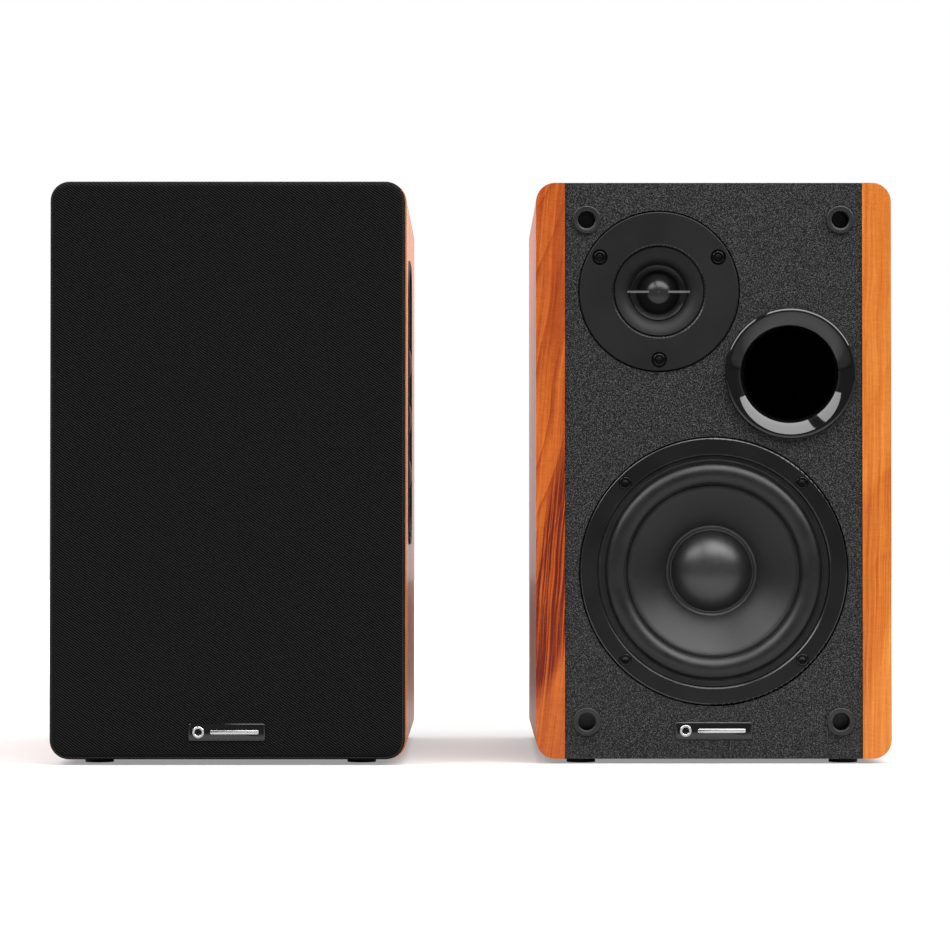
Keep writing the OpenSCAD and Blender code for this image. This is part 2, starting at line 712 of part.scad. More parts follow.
cup_depth = 16;
cup_face = back_y - 5;
module passive_terminal_cup()
  color([0.08, 0.08, 0.08]) difference() {
    translate([0, 0, cup_z]) union() {
      round_box(cup_w, cup_h, 5, back_y, back_y + cup_flange_t);
      round_box(cup_w - 14, cup_h - 14, 4, back_y + cup_flange_t - cup_depth - 2.5, back_y + eps);
    }
    difference() {
      translate([0, 0, cup_z]) round_box(cup_w - 18, cup_h - 18, 3,
                                         back_y + cup_flange_t - cup_depth, back_y + cup_flange_t + 1);
      translate([0, 0, cup_z]) round_box(clip_w, clip_h, 2, back_y - cup_depth - 4, cup_face);
    }
    lever_slots(cup_face, cup_z);
    wire_holes(cup_face, cup_z);
    rear_screw_holes(cup_screw_spots, shank_r + plate_clear, back_y - 1, back_y + 5);
  }

// ---------------------------------------------------------------- rear: amplifier

rca_r = 4.15;
rca_spots = [for (x = [-28, -12], z = [amp_z + 68, amp_z + 50]) [x, z]];
optical_x = 22;
optical_z = amp_z + 59;
inlet_z = amp_z - 62;
inlet_w = 62;
inlet_h = 32;
inlet_face = back_y + amp_plate_t + 2.4;
rocker_x = -19;
rocker_w = 13;
rocker_h = 21;

module amp_plate()
  color([0.1, 0.1, 0.1]) difference() {
    translate([0, 0, amp_z]) round_box(amp_plate_w, amp_plate_h, 4, back_y, back_y + amp_plate_t);
    rear_screw_holes(amp_screw_spots, shank_r + plate_clear, back_y - 1, back_y + 5);
    for (s = rca_spots) on_back(s[0], back_y - 1, s[1]) cylinder(r = rca_r + 1, h = 5);
    translate([optical_x, 0, optical_z]) round_box(12.2, 12.2, 1, back_y - 1, back_y + 5);
    translate([0, 0, out_z]) round_box(clip_w - 5.6, clip_h - 5.6, 1.2, back_y - 1, back_y + 5);
    translate([0, 0, inlet_z]) round_box(inlet_w - 5.6, inlet_h - 4.6, 1.2, back_y - 1, back_y + 5);
  }

// Four input barrels on one block, and an optical socket beside them
module input_sockets() {
  color([0.08, 0.08, 0.08]) difference() {
    union() {
      translate([-35, back_y - 12, amp_z + 41]) cube([30, 12, 36]);
      for (s = rca_spots) on_back(s[0], back_y - eps, s[1]) cylinder(r = rca_r + 0.9, h = amp_plate_t + 0.4);
    }
    for (s = rca_spots) on_back(s[0], back_y - 10, s[1]) cylinder(r = rca_r, h = 20);
  }
  color("silver") for (s = rca_spots) on_back(s[0], back_y - 10, s[1]) difference() {
    cylinder(r = rca_r, h = 10 + amp_plate_t + rca_len);
    translate([0, 0, 11]) cylinder(r = 1.6, h = 20);
  }
  color([0.08, 0.08, 0.08]) translate([optical_x, 0, optical_z]) difference() {
    round_box(12, 12, 0.9, back_y - 12, back_y + amp_plate_t + 1.4);
    round_box(8, 8, 1.5, back_y - 4, back_y + amp_plate_t + 3);
  }
}

// One moulding that holds the mains socket and the switch's frame, with its three pins
module mains_inlet() {
  socket_x = 11;
  color([0.07, 0.07, 0.07]) translate([0, 0, inlet_z]) difference() {
    union() {
      round_box(inlet_w, inlet_h, 2.5, back_y + amp_plate_t, inlet_face);
      round_box(inlet_w - 6, inlet_h - 5, 1, back_y - 20, inlet_face - 1);
    }
    translate([socket_x, 0, 0]) round_box(26, 18, 3, back_y - 13, inlet_face + 1);
    translate([rocker_x, 0, 0]) {
      translate([-rocker_w / 2 - 0.25, back_y - 14, -rocker_h / 2 - 0.9])
        cube([rocker_w + 0.5, 14 + amp_plate_t + 4, rocker_h + 1.8]);
    }
  }
  color("silver") for (p = [[-7, 1], [0, -3.5], [7, 1]])
    translate([socket_x + p[0] - 1, back_y - 13 - eps, inlet_z + p[1] - 2]) cube([2, 11, 4]);
}

// A paddle with round ends and a dished face, tipped to its off position about its middle
rocker_tip = 8;
module power_rocker() {
  end_r = rocker_h / 2 + 0.7;
  color([0.5, 0.05, 0.05]) translate([rocker_x - rocker_w / 2, inlet_face - 5, inlet_z])
    rotate([rocker_tip, 0, 0]) rotate([90, 0, 90]) linear_extrude(rocker_w) intersection() {
      circle(r = end_r);
      polygon([[-3, -3], [-3, 3], [-1, end_r], [7, end_r], [5.4, 0], [7, -end_r], [-1, -end_r]]);
    }
}

// Board on four standoffs, with reservoir capacitors and a finned heatsink
board_y = back_y - 35;
module amp_board() {
  color("darkgreen") translate([-42, board_y, amp_z - 34]) cube([84, pcb_t, 116]);
  color("silver") for (x = [-1, 1], z = [amp_z - 29, amp_z + 78])
    on_back(x * 39, board_y + pcb_t, z) cylinder(r = 2.5, h = back_y - board_y - pcb_t);
  color([0.1, 0.15, 0.4]) for (x = [-26, -4])
    translate([x, board_y, amp_z - 18]) rotate([90, 0, 0]) cylinder(r = 9, h = 25);
  color([0.75, 0.75, 0.75]) translate([-38, board_y - 26, amp_z + 14]) difference() {
    cube([60, 26, 50]);
    for (i = [0 : 6]) translate([4 + i * 8, -1, -1]) cube([5, 21, 52]);
  }
  color([0.12, 0.12, 0.12]) translate([28, board_y - 5, amp_z + 20]) cube([10, 5, 30]);
}

// Laminated core, winding and foot strap, standing on the cabinet's bottom
module transformer() {
  core = [48, 18, 40];
  floor_z = foot_h + shell_t;
  y0 = 120;
  color([0.35, 0.35, 0.37]) translate([-core[0] / 2, y0, floor_z + 1.2]) difference() {
    cube(core);
    for (x = [8, 32]) translate([x, -1, 8]) cube([8, core[1] + 2, 24]);
  }
  color("darkorange") translate([-15.8, y0 - 9, floor_z + 9.4]) difference() {
    cube([31.6, 36, 23.6]);
    translate([7.7, 8.9, -1]) cube([16.2, 18.2, 30]);
  }
  color("silver") translate([-36, y0, floor_z]) cube([72, core[1], 1.2]);
}

// ---------------------------------------------------------------- wiring

lead_r = 0.9;
bend_r = 1.1;                          // radius of the ball at a lead's bend

// A lead through a list of points, with a ball at each bend
module lead(points) {
  for (i = [0 : len(points) - 2]) {
    a = points[i];
    v = points[i + 1] - a;
    n = norm(v);
    translate(a) rotate([0, acos(v[2] / n), atan2(v[1], v[0])]) cylinder(r = lead_r, h = n, $fn = 16);
  }
  for (i = [1 : len(points) - 2]) translate(points[i]) sphere(r = bend_r, $fn = 16);
}

// Two leads to each driver from the point where they start, and the tweeter's capacitor in line
cap_len = 22;
module loom(start_y, start_z) {
  woofer_end = [-31.5, 30, foot_h + woofer_z + 23.5];
  tweeter_end = [tweeter_x, 27, cab_top - tweeter_drop];
  capacitor = [-44, 70, cab_top - tweeter_drop - 20];
  for (s = [0, 1]) color(s == 0 ? "red" : "black") {
    start = [-10 + 20 * s, start_y, start_z + 4 * s];
    x = -48 - 3 * s;
    lead([start, [x, start_y - 12, start[2]], [x, 60, woofer_end[2] + 4 * s], woofer_end + [0, 0, 4 * s]]);
  }
  color("black") lead([[10, start_y, start_z + 16], [-54, start_y - 14, start_z + 17],
                       [-53, 102, tweeter_end[2] - 2], tweeter_end + [0, 0, 5]]);
  color("red") lead([[-10, start_y, start_z + 12], [-44, start_y - 12, start_z + 12],
                     capacitor + [0, cap_len + 8, 0], capacitor + [0, -14, 0], tweeter_end - [0, 0, 5]]);
  color([0.1, 0.2, 0.5]) translate(capacitor) rotate([-90, 0, 0]) cylinder(r = 6, h = cap_len);
}

// Flat cable of three cores between the control board and the amplifier's board
core_gap = 2.6;
module ribbon()
  color("gray") for (i = [-1 : 1])
    lead([[pcb_x - 1, tray_y + 14, tray_z - 40 + core_gap * i],
          [pcb_x - 7, tray_y + 40, amp_z + core_gap * i],
          [38, board_y - 1, amp_z + core_gap * i]]);

// ---------------------------------------------------------------- nodes

module active_screws() color([0.06, 0.06, 0.06]) {
  driver_screws();
  rear_screws(amp_screw_spots, amp_plate_t);
}

module active_loom() {
  loom(board_y - 1, amp_z - 6);
  ribbon();
}

module passive_screws() color([0.06, 0.06, 0.06]) {
  driver_screws();
  rear_screws(cup_screw_spots, cup_flange_t);
}

module passive_loom() loom(back_y + cup_flange_t - cup_depth - 3.5, cup_z - 6);

at_active() side_panels(true);  // active_side_panels
at_active() shell(amp_plate_w - 12, amp_plate_h - 14, amp_z, amp_screw_spots);  // active_shell
at_active() baffle();  // active_baffle
at_active() port();  // active_port
at_active() grille_sockets();  // active_grille_sockets
at_active() feet();  // active_feet
at_active() woofer_ring();  // active_woofer_ring
at_active() woofer_frame();  // active_woofer_frame
at_active() woofer_surround();  // active_woofer_surround
at_active() woofer_cone();  // active_woofer_cone
at_active() woofer_dust_cap();  // active_woofer_dust_cap
at_active() woofer_voice_coil();  // active_woofer_voice_coil
at_active() woofer_spider();  // active_woofer_spider
at_active() woofer_motor();  // active_woofer_motor
at_active() tweeter_faceplate();  // active_tweeter_faceplate
at_active() tweeter_dome();  // active_tweeter_dome
at_active() tweeter_motor();  // active_tweeter_motor
at_active() active_screws();
at_active() active_loom();
at_active() grille_frame();
at_active() grille_cloth();
at_active() badge(-grille_front, foot_h + badge_rise);  // grille_badge
at_active() control_panel();
at_active() ir_window();
at_active() knob(knob_z[0]);  // treble_knob
at_active() knob(knob_z[1]);  // bass_knob
at_active() knob(knob_z[2]);  // volume_knob
at_active() control_board();
at_active() amp_plate();
at_active() amp_board();
at_active() transformer();
at_active() input_sockets();
at_active() mains_inlet();
at_active() power_rocker();
at_active() output_terminal();
at_active() color("red") lever(-lever_x, out_face, out_z);  // output_lever_red
at_active() color([0.05, 0.05, 0.05]) lever(lever_x, out_face, out_z);  // output_lever_black

at_passive() side_panels(false);  // passive_side_panels
at_passive() shell(cup_w - 13, cup_h - 13, cup_z, cup_screw_spots);  // passive_shell
at_passive() baffle();  // passive_baffle
at_passive() port();  // passive_port
at_passive() grille_sockets();  // passive_grille_sockets
at_passive() feet();  // passive_feet
at_passive() badge(front_wall_y, foot_h + badge_rise);  // passive_badge
at_passive() woofer_ring();  // passive_woofer_ring
at_passive() woofer_frame();  // passive_woofer_frame
at_passive() woofer_surround();  // passive_woofer_surround
at_passive() woofer_cone();  // passive_woofer_cone
at_passive() woofer_dust_cap();  // passive_woofer_dust_cap
at_passive() woofer_voice_coil();  // passive_woofer_voice_coil
at_passive() woofer_spider();  // passive_woofer_spider
at_passive() woofer_motor();  // passive_woofer_motor
at_passive() tweeter_faceplate();  // passive_tweeter_faceplate
at_passive() tweeter_dome();  // passive_tweeter_dome
at_passive() tweeter_motor();  // passive_tweeter_motor
at_passive() passive_screws();
at_passive() passive_loom();
at_passive() passive_terminal_cup();
at_passive() color("red") lever(-lever_x, cup_face, cup_z);  // passive_lever_red
at_passive() color([0.05, 0.05, 0.05]) lever(lever_x, cup_face, cup_z);  // passive_lever_black
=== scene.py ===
"""Desktop speakers: materials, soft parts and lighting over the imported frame. Metres throughout."""

import math

import bmesh
import bpy
import numpy as np
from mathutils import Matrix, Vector


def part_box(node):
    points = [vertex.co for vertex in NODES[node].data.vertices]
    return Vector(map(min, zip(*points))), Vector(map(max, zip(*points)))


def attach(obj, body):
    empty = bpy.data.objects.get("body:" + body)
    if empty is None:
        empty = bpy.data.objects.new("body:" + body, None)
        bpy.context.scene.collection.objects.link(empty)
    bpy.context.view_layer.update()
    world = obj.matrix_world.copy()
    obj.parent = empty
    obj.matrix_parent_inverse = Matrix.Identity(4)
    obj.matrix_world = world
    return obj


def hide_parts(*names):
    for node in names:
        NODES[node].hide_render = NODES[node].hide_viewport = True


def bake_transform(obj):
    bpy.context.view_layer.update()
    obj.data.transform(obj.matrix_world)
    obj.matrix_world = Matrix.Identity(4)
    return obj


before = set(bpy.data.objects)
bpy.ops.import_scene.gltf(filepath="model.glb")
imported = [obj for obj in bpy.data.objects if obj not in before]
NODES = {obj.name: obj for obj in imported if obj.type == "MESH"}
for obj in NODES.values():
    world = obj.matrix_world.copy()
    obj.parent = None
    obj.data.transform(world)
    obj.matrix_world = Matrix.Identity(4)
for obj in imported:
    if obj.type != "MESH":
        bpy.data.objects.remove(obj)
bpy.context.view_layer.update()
MM = 0.001
SIDES = ("active", "passive")


# ------------------------------------------------------------------ places taken from the frame


def middle(node):
    low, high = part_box(node)
    return Vector([(a + b) / 2 for a, b in zip(low, high)])


def front_of(node):
    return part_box(node)[0][1]


def baffle_plane(side):
    return front_of(f"{side}_baffle")


# ------------------------------------------------------------------ node helpers


def srgb(*rgb):
    """8-bit display colour to a linear RGBA tuple."""
    return tuple(((c / 255 + 0.055) / 1.055) ** 2.4 if c > 10 else c / 255 / 12.92 for c in rgb) + (1.0,)


def grey(level):
    """Linear RGBA of a neutral tone."""
    return (level, level, level, 1)


def scaled(colour, factor):
    """A colour made lighter or darker, fully opaque."""
    return tuple(c * factor for c in colour[:3]) + (1,)


class Nodes:
    """Short names for building one material's node tree."""

    def __init__(self, name):
        self.material = bpy.data.materials.new(name)
        self.material.use_nodes = True
        self.tree = self.material.node_tree
        self.bsdf = self.tree.nodes["Principled BSDF"]

    def add(self, kind, **values):
        node = self.tree.nodes.new(kind)
        for key, value in values.items():
            if key in node.inputs:
                node.inputs[key].default_value = value
            else:
                setattr(node, key, value)
        return node

    def link(self, a, b):
        self.tree.links.new(a, b)

    def position(self):
        """The point's place in the row frame: a piece's mesh is in row coordinates at rest."""
        return self.add("ShaderNodeTexCoord").outputs["Object"]

    def mapped(self, scale, rotation=(0, 0, 0), location=(0, 0, 0), source=None):
        node = self.add("ShaderNodeMapping")
        node.inputs["Scale"].default_value = scale
        node.inputs["Rotation"].default_value = rotation
        node.inputs["Location"].default_value = location
        self.link(source or self.position(), node.inputs["Vector"])
        return node.outputs["Vector"]

    def split(self, vector):
        node = self.add("ShaderNodeSeparateXYZ")
        self.link(vector, node.inputs["Vector"])
        return list(node.outputs)

    def warped(self, vector, scale, amount):
        """The vector pushed about by a slow noise."""
        bend = self.add("ShaderNodeTexNoise", Scale=scale, Detail=1.0)
        self.link(vector, bend.inputs["Vector"])
        push = self.add("ShaderNodeVectorMath", operation="MULTIPLY_ADD")
        self.link(bend.outputs["Color"], push.inputs[0])
        push.inputs[1].default_value = amount
        self.link(vector, push.inputs[2])
        return push.outputs[0]

    def noise(self, vector, scale=1.0, detail=2.0, roughness=0.5, distortion=0.0):
        node = self.add("ShaderNodeTexNoise", Scale=scale, Detail=detail, Roughness=roughness,
                        Distortion=distortion)
        self.link(vector, node.inputs["Vector"])
        return node.outputs["Fac"]

    def voronoi(self, vector):
        node = self.add("ShaderNodeTexVoronoi", Scale=1.0)
        self.link(vector, node.inputs["Vector"])
        return node.outputs["Distance"]

    def math(self, operation, a, b=0.0):
        node = self.add("ShaderNodeMath", operation=operation)
        for socket, value in zip(node.inputs, (a, b)):
            if isinstance(value, (int, float)):
                socket.default_value = value
            else:
                self.link(value, socket)
        return node.outputs[0]

    def swing(self, noise, share):
        """A noise about its mean of a half, scaled."""
        return self.math("MULTIPLY", self.math("SUBTRACT", noise, 0.5), share)

    def blend(self, a, b, share):
        """Share of a and the rest of b."""
        return self.math("ADD", self.math("MULTIPLY", a, share), self.math("MULTIPLY", b, 1 - share))

    def dot(self, vector, constant):
        node = self.add("ShaderNodeVectorMath", operation="DOT_PRODUCT")
        self.link(vector, node.inputs[0])
        node.inputs[1].default_value = constant
        return node.outputs["Value"]

    def length(self, vector):
        node = self.add("ShaderNodeVectorMath", operation="LENGTH")
        self.link(vector, node.inputs[0])
        return node.outputs["Value"]

    def span(self, value, low, high, to_low=0.0, to_high=1.0):
        node = self.add("ShaderNodeMapRange")
        node.inputs["From Min"].default_value = low
        node.inputs["From Max"].default_value = high
        node.inputs["To Min"].default_value = to_low
        node.inputs["To Max"].default_value = to_high
        self.link(value, node.inputs["Value"])
        return node.outputs["Result"]

    def ramp(self, value, *stops):
        node = self.add("ShaderNodeValToRGB")
        elements = node.color_ramp.elements
        while len(elements) < len(stops):
            elements.new(0.5)
        for element, (at, colour) in zip(elements, stops):
            element.position = at
            element.color = colour
        self.link(value, node.inputs["Fac"])
        return node.outputs["Color"]

    def mix(self, factor, a, b):
        node = self.add("ShaderNodeMix", data_type="RGBA")
        colour_a, colour_b = [s for s in node.inputs if s.type == "RGBA"][:2]
        if isinstance(factor, (int, float)):
            node.inputs[0].default_value = factor
        else:
            self.link(factor, node.inputs[0])
        for socket, value in ((colour_a, a), (colour_b, b)):
            if isinstance(value, tuple):
                socket.default_value = value
            else:
                self.link(value, socket)
        return [s for s in node.outputs if s.type == "RGBA"][0]

    def bump(self, height, distance, strength=1.0):
        node = self.add("ShaderNodeBump", Strength=strength, Distance=distance)
        self.link(height, node.inputs["Height"])
        return node.outputs["Normal"]

    def out(self, **values):
        """Sets or links the Principled inputs, spaces written as underscores."""
        for key, value in values.items():
            socket = self.bsdf.inputs[key.replace("_", " ")]
            if isinstance(value, (int, float, tuple)):
                socket.default_value = value
            else:
                self.link(value, socket)
        return self.material


# ------------------------------------------------------------------ materials


def wood(name, shades, offset, lean, figure, coat, heart, depth):
    """Veneer with its grain along Z: slow drift, leaning growth lines, streaks, fibres, cross chatter and
    pores under lacquer. Round the heart, a place in row coordinates, it is darker by depth and streaked."""
    n = Nodes(name)
    dark, mid, light = shades
    place = n.warped(n.mapped((1, 1, 1), rotation=(0, lean, 0), location=offset), 24, (0.004, 0.004, 0))
    drift = n.noise(n.mapped((50, 26, 9), source=place), detail=2.0)
    streaks = n.noise(n.mapped((700, 230, 9), source=place), detail=3.0, roughness=0.65)
    fibres = n.noise(n.mapped((1900, 700, 60), source=place), detail=2.0, roughness=0.6)
    chatter = n.noise(n.mapped((350, 300, 1500), source=place), detail=2.0)
    waver = n.noise(n.mapped((30, 11, 9), source=place), detail=1.0, roughness=0.4)

    ring = n.math("FRACT", n.math("ADD", n.dot(place, (-90, 62, 18)), n.math("MULTIPLY", waver, 4.0)))
    rise, fall = n.math("POWER", n.span(ring, 0.3, 0.97), 4.0), n.span(ring, 0.97, 1.0, 1.0, 0.0)
    line = n.math("MULTIPLY", n.math("MULTIPLY", rise, fall), n.span(drift, 0.42, 0.56, 0.15, 1.0))

    tone = 0.5
    for part, share in ((drift, 0.7), (streaks, 0.75), (fibres, 0.35), (chatter, 0.22)):
        tone = n.math("ADD", tone, n.swing(part, share))
    tone = n.math("SUBTRACT", tone, n.math("MULTIPLY", line, figure))

    away = n.add("ShaderNodeCombineXYZ")
    for socket, slope in zip(away.inputs, ((26, 0, 0), (0, 38, 0), (-34, 0, 17))):
        n.link(n.math("SUBTRACT", n.dot(n.position(), slope), Vector(slope).dot(heart)), socket)
    reach = n.math("ADD", n.length(away.outputs[0]), n.swing(drift, 0.8))
    veins = n.noise(n.mapped((2000, 700, 14), source=place), detail=2.0, roughness=0.6, distortion=0.4)
    flame = n.math("MULTIPLY", n.span(reach, 0.55, 0.78, depth, 0.0), n.span(veins, 0.45, 0.58, 1.0, 0.15))
    colour = n.ramp(n.math("SUBTRACT", tone, flame), (0.0, dark), (0.42, mid), (0.75, light))

    pores = n.span(n.noise(n.mapped((3200, 1500, 110), source=place), detail=1.0), 0.66, 0.74)
    colour = n.mix(n.math("MULTIPLY", pores, 0.3), colour, dark)
    height = n.math("SUBTRACT", n.math("MULTIPLY", fibres, 0.5), pores)
    return n.out(Base_Color=colour, Roughness=n.span(fibres, 0.3, 0.7, 0.34, 0.44), Coat_Weight=coat,
                 Coat_Roughness=0.16, Specular_IOR_Level=0.35, Normal=n.bump(height, 0.00004, 0.5))


def vinyl(name):
    """Black pebble-grained wrap: fine pale flecks in a dark ground, with shallow raised grains."""
    n = Nodes(name)
    grain = n.noise(n.position(), scale=2600, detail=1.0)
    soft = n.noise(n.position(), scale=1300, detail=0.0)
    tone = n.blend(grain, soft, 0.8)
    colour = n.ramp(tone, (0.36, grey(0)), (0.5, (0.0026, 0.0026, 0.0027, 1)),
                    (0.64, (0.085, 0.085, 0.086, 1)))
    return n.out(Base_Color=colour, Roughness=n.span(grain, 0.3, 0.7, 0.42, 0.6), Specular_IOR_Level=0.35,
                 Normal=n.bump(grain, 0.0002, 0.9))


def plastic(name, shade, roughness, grain=900.0, depth=0.00002, tint=(1, 1, 1), spread=0.25, specular=0.5):
    """Moulded plastic: spark-eroded texture, slightly uneven tone and gloss."""
    n = Nodes(name)
    fine = n.noise(n.position(), scale=grain, detail=3.0, roughness=0.6)
    broad = n.noise(n.position(), scale=45, detail=2.0)
    low, high = scaled(tint, shade * (1 - spread)), scaled(tint, shade * (1 + spread))
    colour = n.ramp(n.blend(fine, broad, 0.6), (0.3, low), (0.7, high))
    rough = n.span(broad, 0.3, 0.7, roughness - 0.05, roughness + 0.06)
    return n.out(Base_Color=colour, Roughness=rough, Specular_IOR_Level=specular,
                 Normal=n.bump(fine, depth, 0.6))


def gloss(name, shade):
    """Polished moulding with a faint ripple and hairline scuffs."""
    n = Nodes(name)
    ripple = n.noise(n.position(), scale=60, detail=1.0)
    scuffs = n.noise(n.mapped((900, 40, 900)), detail=4.0, roughness=0.7)
    return n.out(Base_Color=n.mix(n.span(scuffs, 0.55, 0.8, 0, 0.3), grey(shade), grey(shade * 2)),
                 Roughness=n.span(scuffs, 0.45, 0.75, 0.05, 0.11), Coat_Weight=0.6, Coat_Roughness=0.03,
                 Normal=n.bump(ripple, 0.00001, 0.25))


def rubber(name, shade, roughness, grain=1100.0, depth=0.00004):
    """Moulded rubber: fine grain under a faint bloom."""
    n = Nodes(name)
    fine = n.noise(n.position(), scale=grain, detail=3.0, roughness=0.65)
    dust = n.noise(n.position(), scale=130, detail=3.0)
    colour = n.ramp(n.blend(fine, dust, 0.5), (0.35, grey(shade * 0.7)), (0.7, grey(shade * 1.7)))
    return n.out(Base_Color=colour, Roughness=n.span(dust, 0.3, 0.7, roughness - 0.05, roughness + 0.06),
                 Normal=n.bump(fine, depth, 0.7))


def paper(name, shade, roughness, specular=0.5):
    """Pressed paper pulp: matted fibres running every way under a coat."""
    n = Nodes(name)
    pulp = n.noise(n.position(), scale=900, detail=4.0, roughness=0.7, distortion=1.0)
    fibres = n.noise(n.mapped((420, 420, 900)), detail=3.0, roughness=0.7, distortion=1.5)
    tone = n.blend(pulp, fibres, 0.5)
    colour = n.ramp(tone, (0.35, grey(shade * 0.6)), (0.65, grey(shade * 1.4)))
    return n.out(Base_Color=colour, Roughness=n.span(tone, 0.35, 0.65, roughness - 0.05, roughness + 0.07),
                 Specular_IOR_Level=specular, Normal=n.bump(tone, 0.00005, 0.5))


def metal(name, colour, roughness, brushed=(1, 1, 1)):
    """Plated or machined metal, brushed along the axis with the smallest scale."""
    n = Nodes(name)
    lines = n.noise(n.mapped(tuple(600 * b for b in brushed)), detail=4.0, roughness=0.7)
    stain = n.noise(n.position(), scale=70, detail=2.0)
    return n.out(Base_Color=n.mix(n.span(stain, 0.4, 0.75, 0, 0.6), colour, scaled(colour, 0.75)),
                 Metallic=1.0, Roughness=n.span(lines, 0.3, 0.7, roughness - 0.06, roughness + 0.1),
                 Normal=n.bump(lines, 0.00001, 0.4))


def painted(name, shade, roughness=0.45):
    """Powder coat: fine orange peel over steel."""
    n = Nodes(name)
    peel = n.noise(n.position(), scale=700, detail=2.0, roughness=0.5)
    speck = n.noise(n.position(), scale=1800, detail=2.0)
    colour = n.ramp(speck, (0.35, grey(shade * 0.8)), (0.7, grey(shade * 1.5)))
    return n.out(Base_Color=colour, Roughness=n.span(peel, 0.3, 0.7, roughness - 0.06, roughness + 0.08),
                 Normal=n.bump(peel, 0.00006, 0.6))


def twill(name):
    """Stretched acoustic cloth: fine diagonal ribs that fall to the right, crossed by finer yarns."""
    n = Nodes(name)
    x, y, z = n.split(n.warped(n.position(), 5.0, (0.004, 0.0, 0.004)))
    across, up = n.math("ADD", x, y), n.math("SUBTRACT", z, y)
    ribs_x, ribs_z = 2 * math.pi * 640, 2 * math.pi * 900
    rising = n.math("MULTIPLY", up, ribs_z)
    rib = n.math("SINE", n.math("ADD", n.math("MULTIPLY", across, ribs_x), rising))
    yarn = n.math("SINE", n.math("SUBTRACT", n.math("MULTIPLY", across, 1.9 * ribs_x), rising))
    height = n.math("ADD", n.math("MULTIPLY", rib, 0.42), n.math("MULTIPLY", yarn, 0.08))
    lint = n.noise(n.mapped((1500, 1500, 2600)), detail=2.0, roughness=0.6)
    tone = n.math("ADD", n.math("ADD", height, 0.5), n.swing(lint, 0.5))
    colour = n.ramp(tone, (0.3, grey(0.0002)), (0.6, (0.0045, 0.0045, 0.0047, 1)),
                    (0.95, (0.028, 0.028, 0.029, 1)))
    return n.out(Base_Color=colour, Roughness=0.9, Specular_IOR_Level=0.08,
                 Normal=n.bump(height, 0.00015, 0.6))


def cloth(name, colour):
    """Open plain weave, used on the spider."""
    n = Nodes(name)
    x, _, z = n.split(n.position())
    turns = 2 * math.pi / (0.9 * MM)
    warp = n.math("SINE", n.math("MULTIPLY", x, turns))
    weft = n.math("SINE", n.math("MULTIPLY", z, turns))
    weave = n.math("MULTIPLY", warp, weft)
    dark = scaled(colour, 0.5)
    return n.out(Base_Color=n.ramp(n.span(weave, -1, 1), (0.2, dark), (0.8, colour)), Roughness=0.8,
                 Normal=n.bump(weave, 0.0001, 0.7))


def circuit(name):
    """Green lacquered board with copper tracks under the lacquer."""
    n = Nodes(name)
    tracks = n.voronoi(n.mapped((260, 260, 90)))
    return n.out(Base_Color=n.ramp(tracks, (0.3, srgb(20, 96, 46)), (0.36, srgb(10, 62, 30))), Roughness=0.35,
                 Coat_Weight=0.3, Normal=n.bump(tracks, 0.00005, 0.4))


def window(name):
    """Smoked red plastic with a slight swirl."""
    n = Nodes(name)
    swirl = n.noise(n.position(), scale=180, detail=1.0)
    return n.out(Base_Color=n.ramp(swirl, (0.3, (0.02, 0.001, 0.001, 1)), (0.7, (0.05, 0.003, 0.003, 1))),
                 Roughness=n.span(swirl, 0.3, 0.7, 0.05, 0.09), Coat_Weight=1.0)


def leads(name, colour):
    """Soft insulation, a little scuffed."""
    n = Nodes(name)
    marks = n.noise(n.position(), scale=400, detail=2.0)
    dark = scaled(colour, 0.6)
    return n.out(Base_Color=n.ramp(marks, (0.35, dark), (0.6, colour)), Roughness=0.42,
                 Normal=n.bump(marks, 0.00003, 0.3))


STRIP = Vector((middle("passive_side_panels").x, front_of("passive_side_panels"), 0))
LEFT_WOOD = wood("cherry_figured", (srgb(110, 24, 0), srgb(182, 80, 24), srgb(220, 117, 42)),
                 offset=(0.013, 0.02, 0.11), lean=-0.09, figure=0.3, coat=0.2,
                 heart=STRIP + Vector((-0.068, 0, 0.076)), depth=0.55)
RIGHT_WOOD = wood("cherry_plain", (srgb(176, 76, 16), srgb(216, 119, 39), srgb(240, 150, 66)),
                  offset=(0.31, 0.4, 0.2), lean=-0.02, figure=0.1, coat=0.33,
                  heart=STRIP + Vector((0.068, 0, 0.08)), depth=0.22)
WRAP = vinyl("pebble_vinyl")
FACE = plastic("tweeter_face_plastic", 0.010, 0.5, 1500, 0.00001, specular=0.3)
# The bullet's grey, lighter than the faceplate's, is a painted highlight on top of its glossier finish.
BULLET_PAINTED_HIGHLIGHT = plastic("bullet_painted_highlight", 0.022, 0.28, 1500, 0.00001)
# The bar's light grey is a painted highlight: it stands in for the overhead light reflected off the bar's top
# face.
BAR_PAINTED_HIGHLIGHT = plastic("bar_painted_highlight", 0.15, 0.35, 1500, 0.00001)
TRIM = plastic("trim_plastic", 0.0045, 0.34, 1300, 0.00001, specular=0.4)
RIM = plastic("polished_rim", 0.01, 0.22, 1500, 0.000005, specular=0.9)
SOCKET = plastic("socket_plastic", 0.022, 0.36, 1500, 0.00001)
MATTE = plastic("moulded_black", 0.010, 0.5)
TRAY = plastic("tray_plastic", 0.007, 0.55, 700, 0.00004)
KNOB = plastic("knob_plastic", 0.009, 0.38, 1500, 0.00001)
RED = plastic("red_plastic", 0.36, 0.38, 900, 0.00001, (1.0, 0.03, 0.03), 0.12)
WHITE = plastic("white_plastic", 0.62, 0.4, 900, 0.00001, (1, 1, 0.96), 0.06)
PORT = gloss("port_gloss", 0.0025)
BADGE = gloss("badge_gloss", 0.005)
SURROUND = rubber("surround_rubber", 0.008, 0.38, 1500, 0.00008)
FEET = rubber("feet_rubber", 0.012, 0.65)
CONE = paper("cone_pulp", 0.009, 0.45, 0.5)
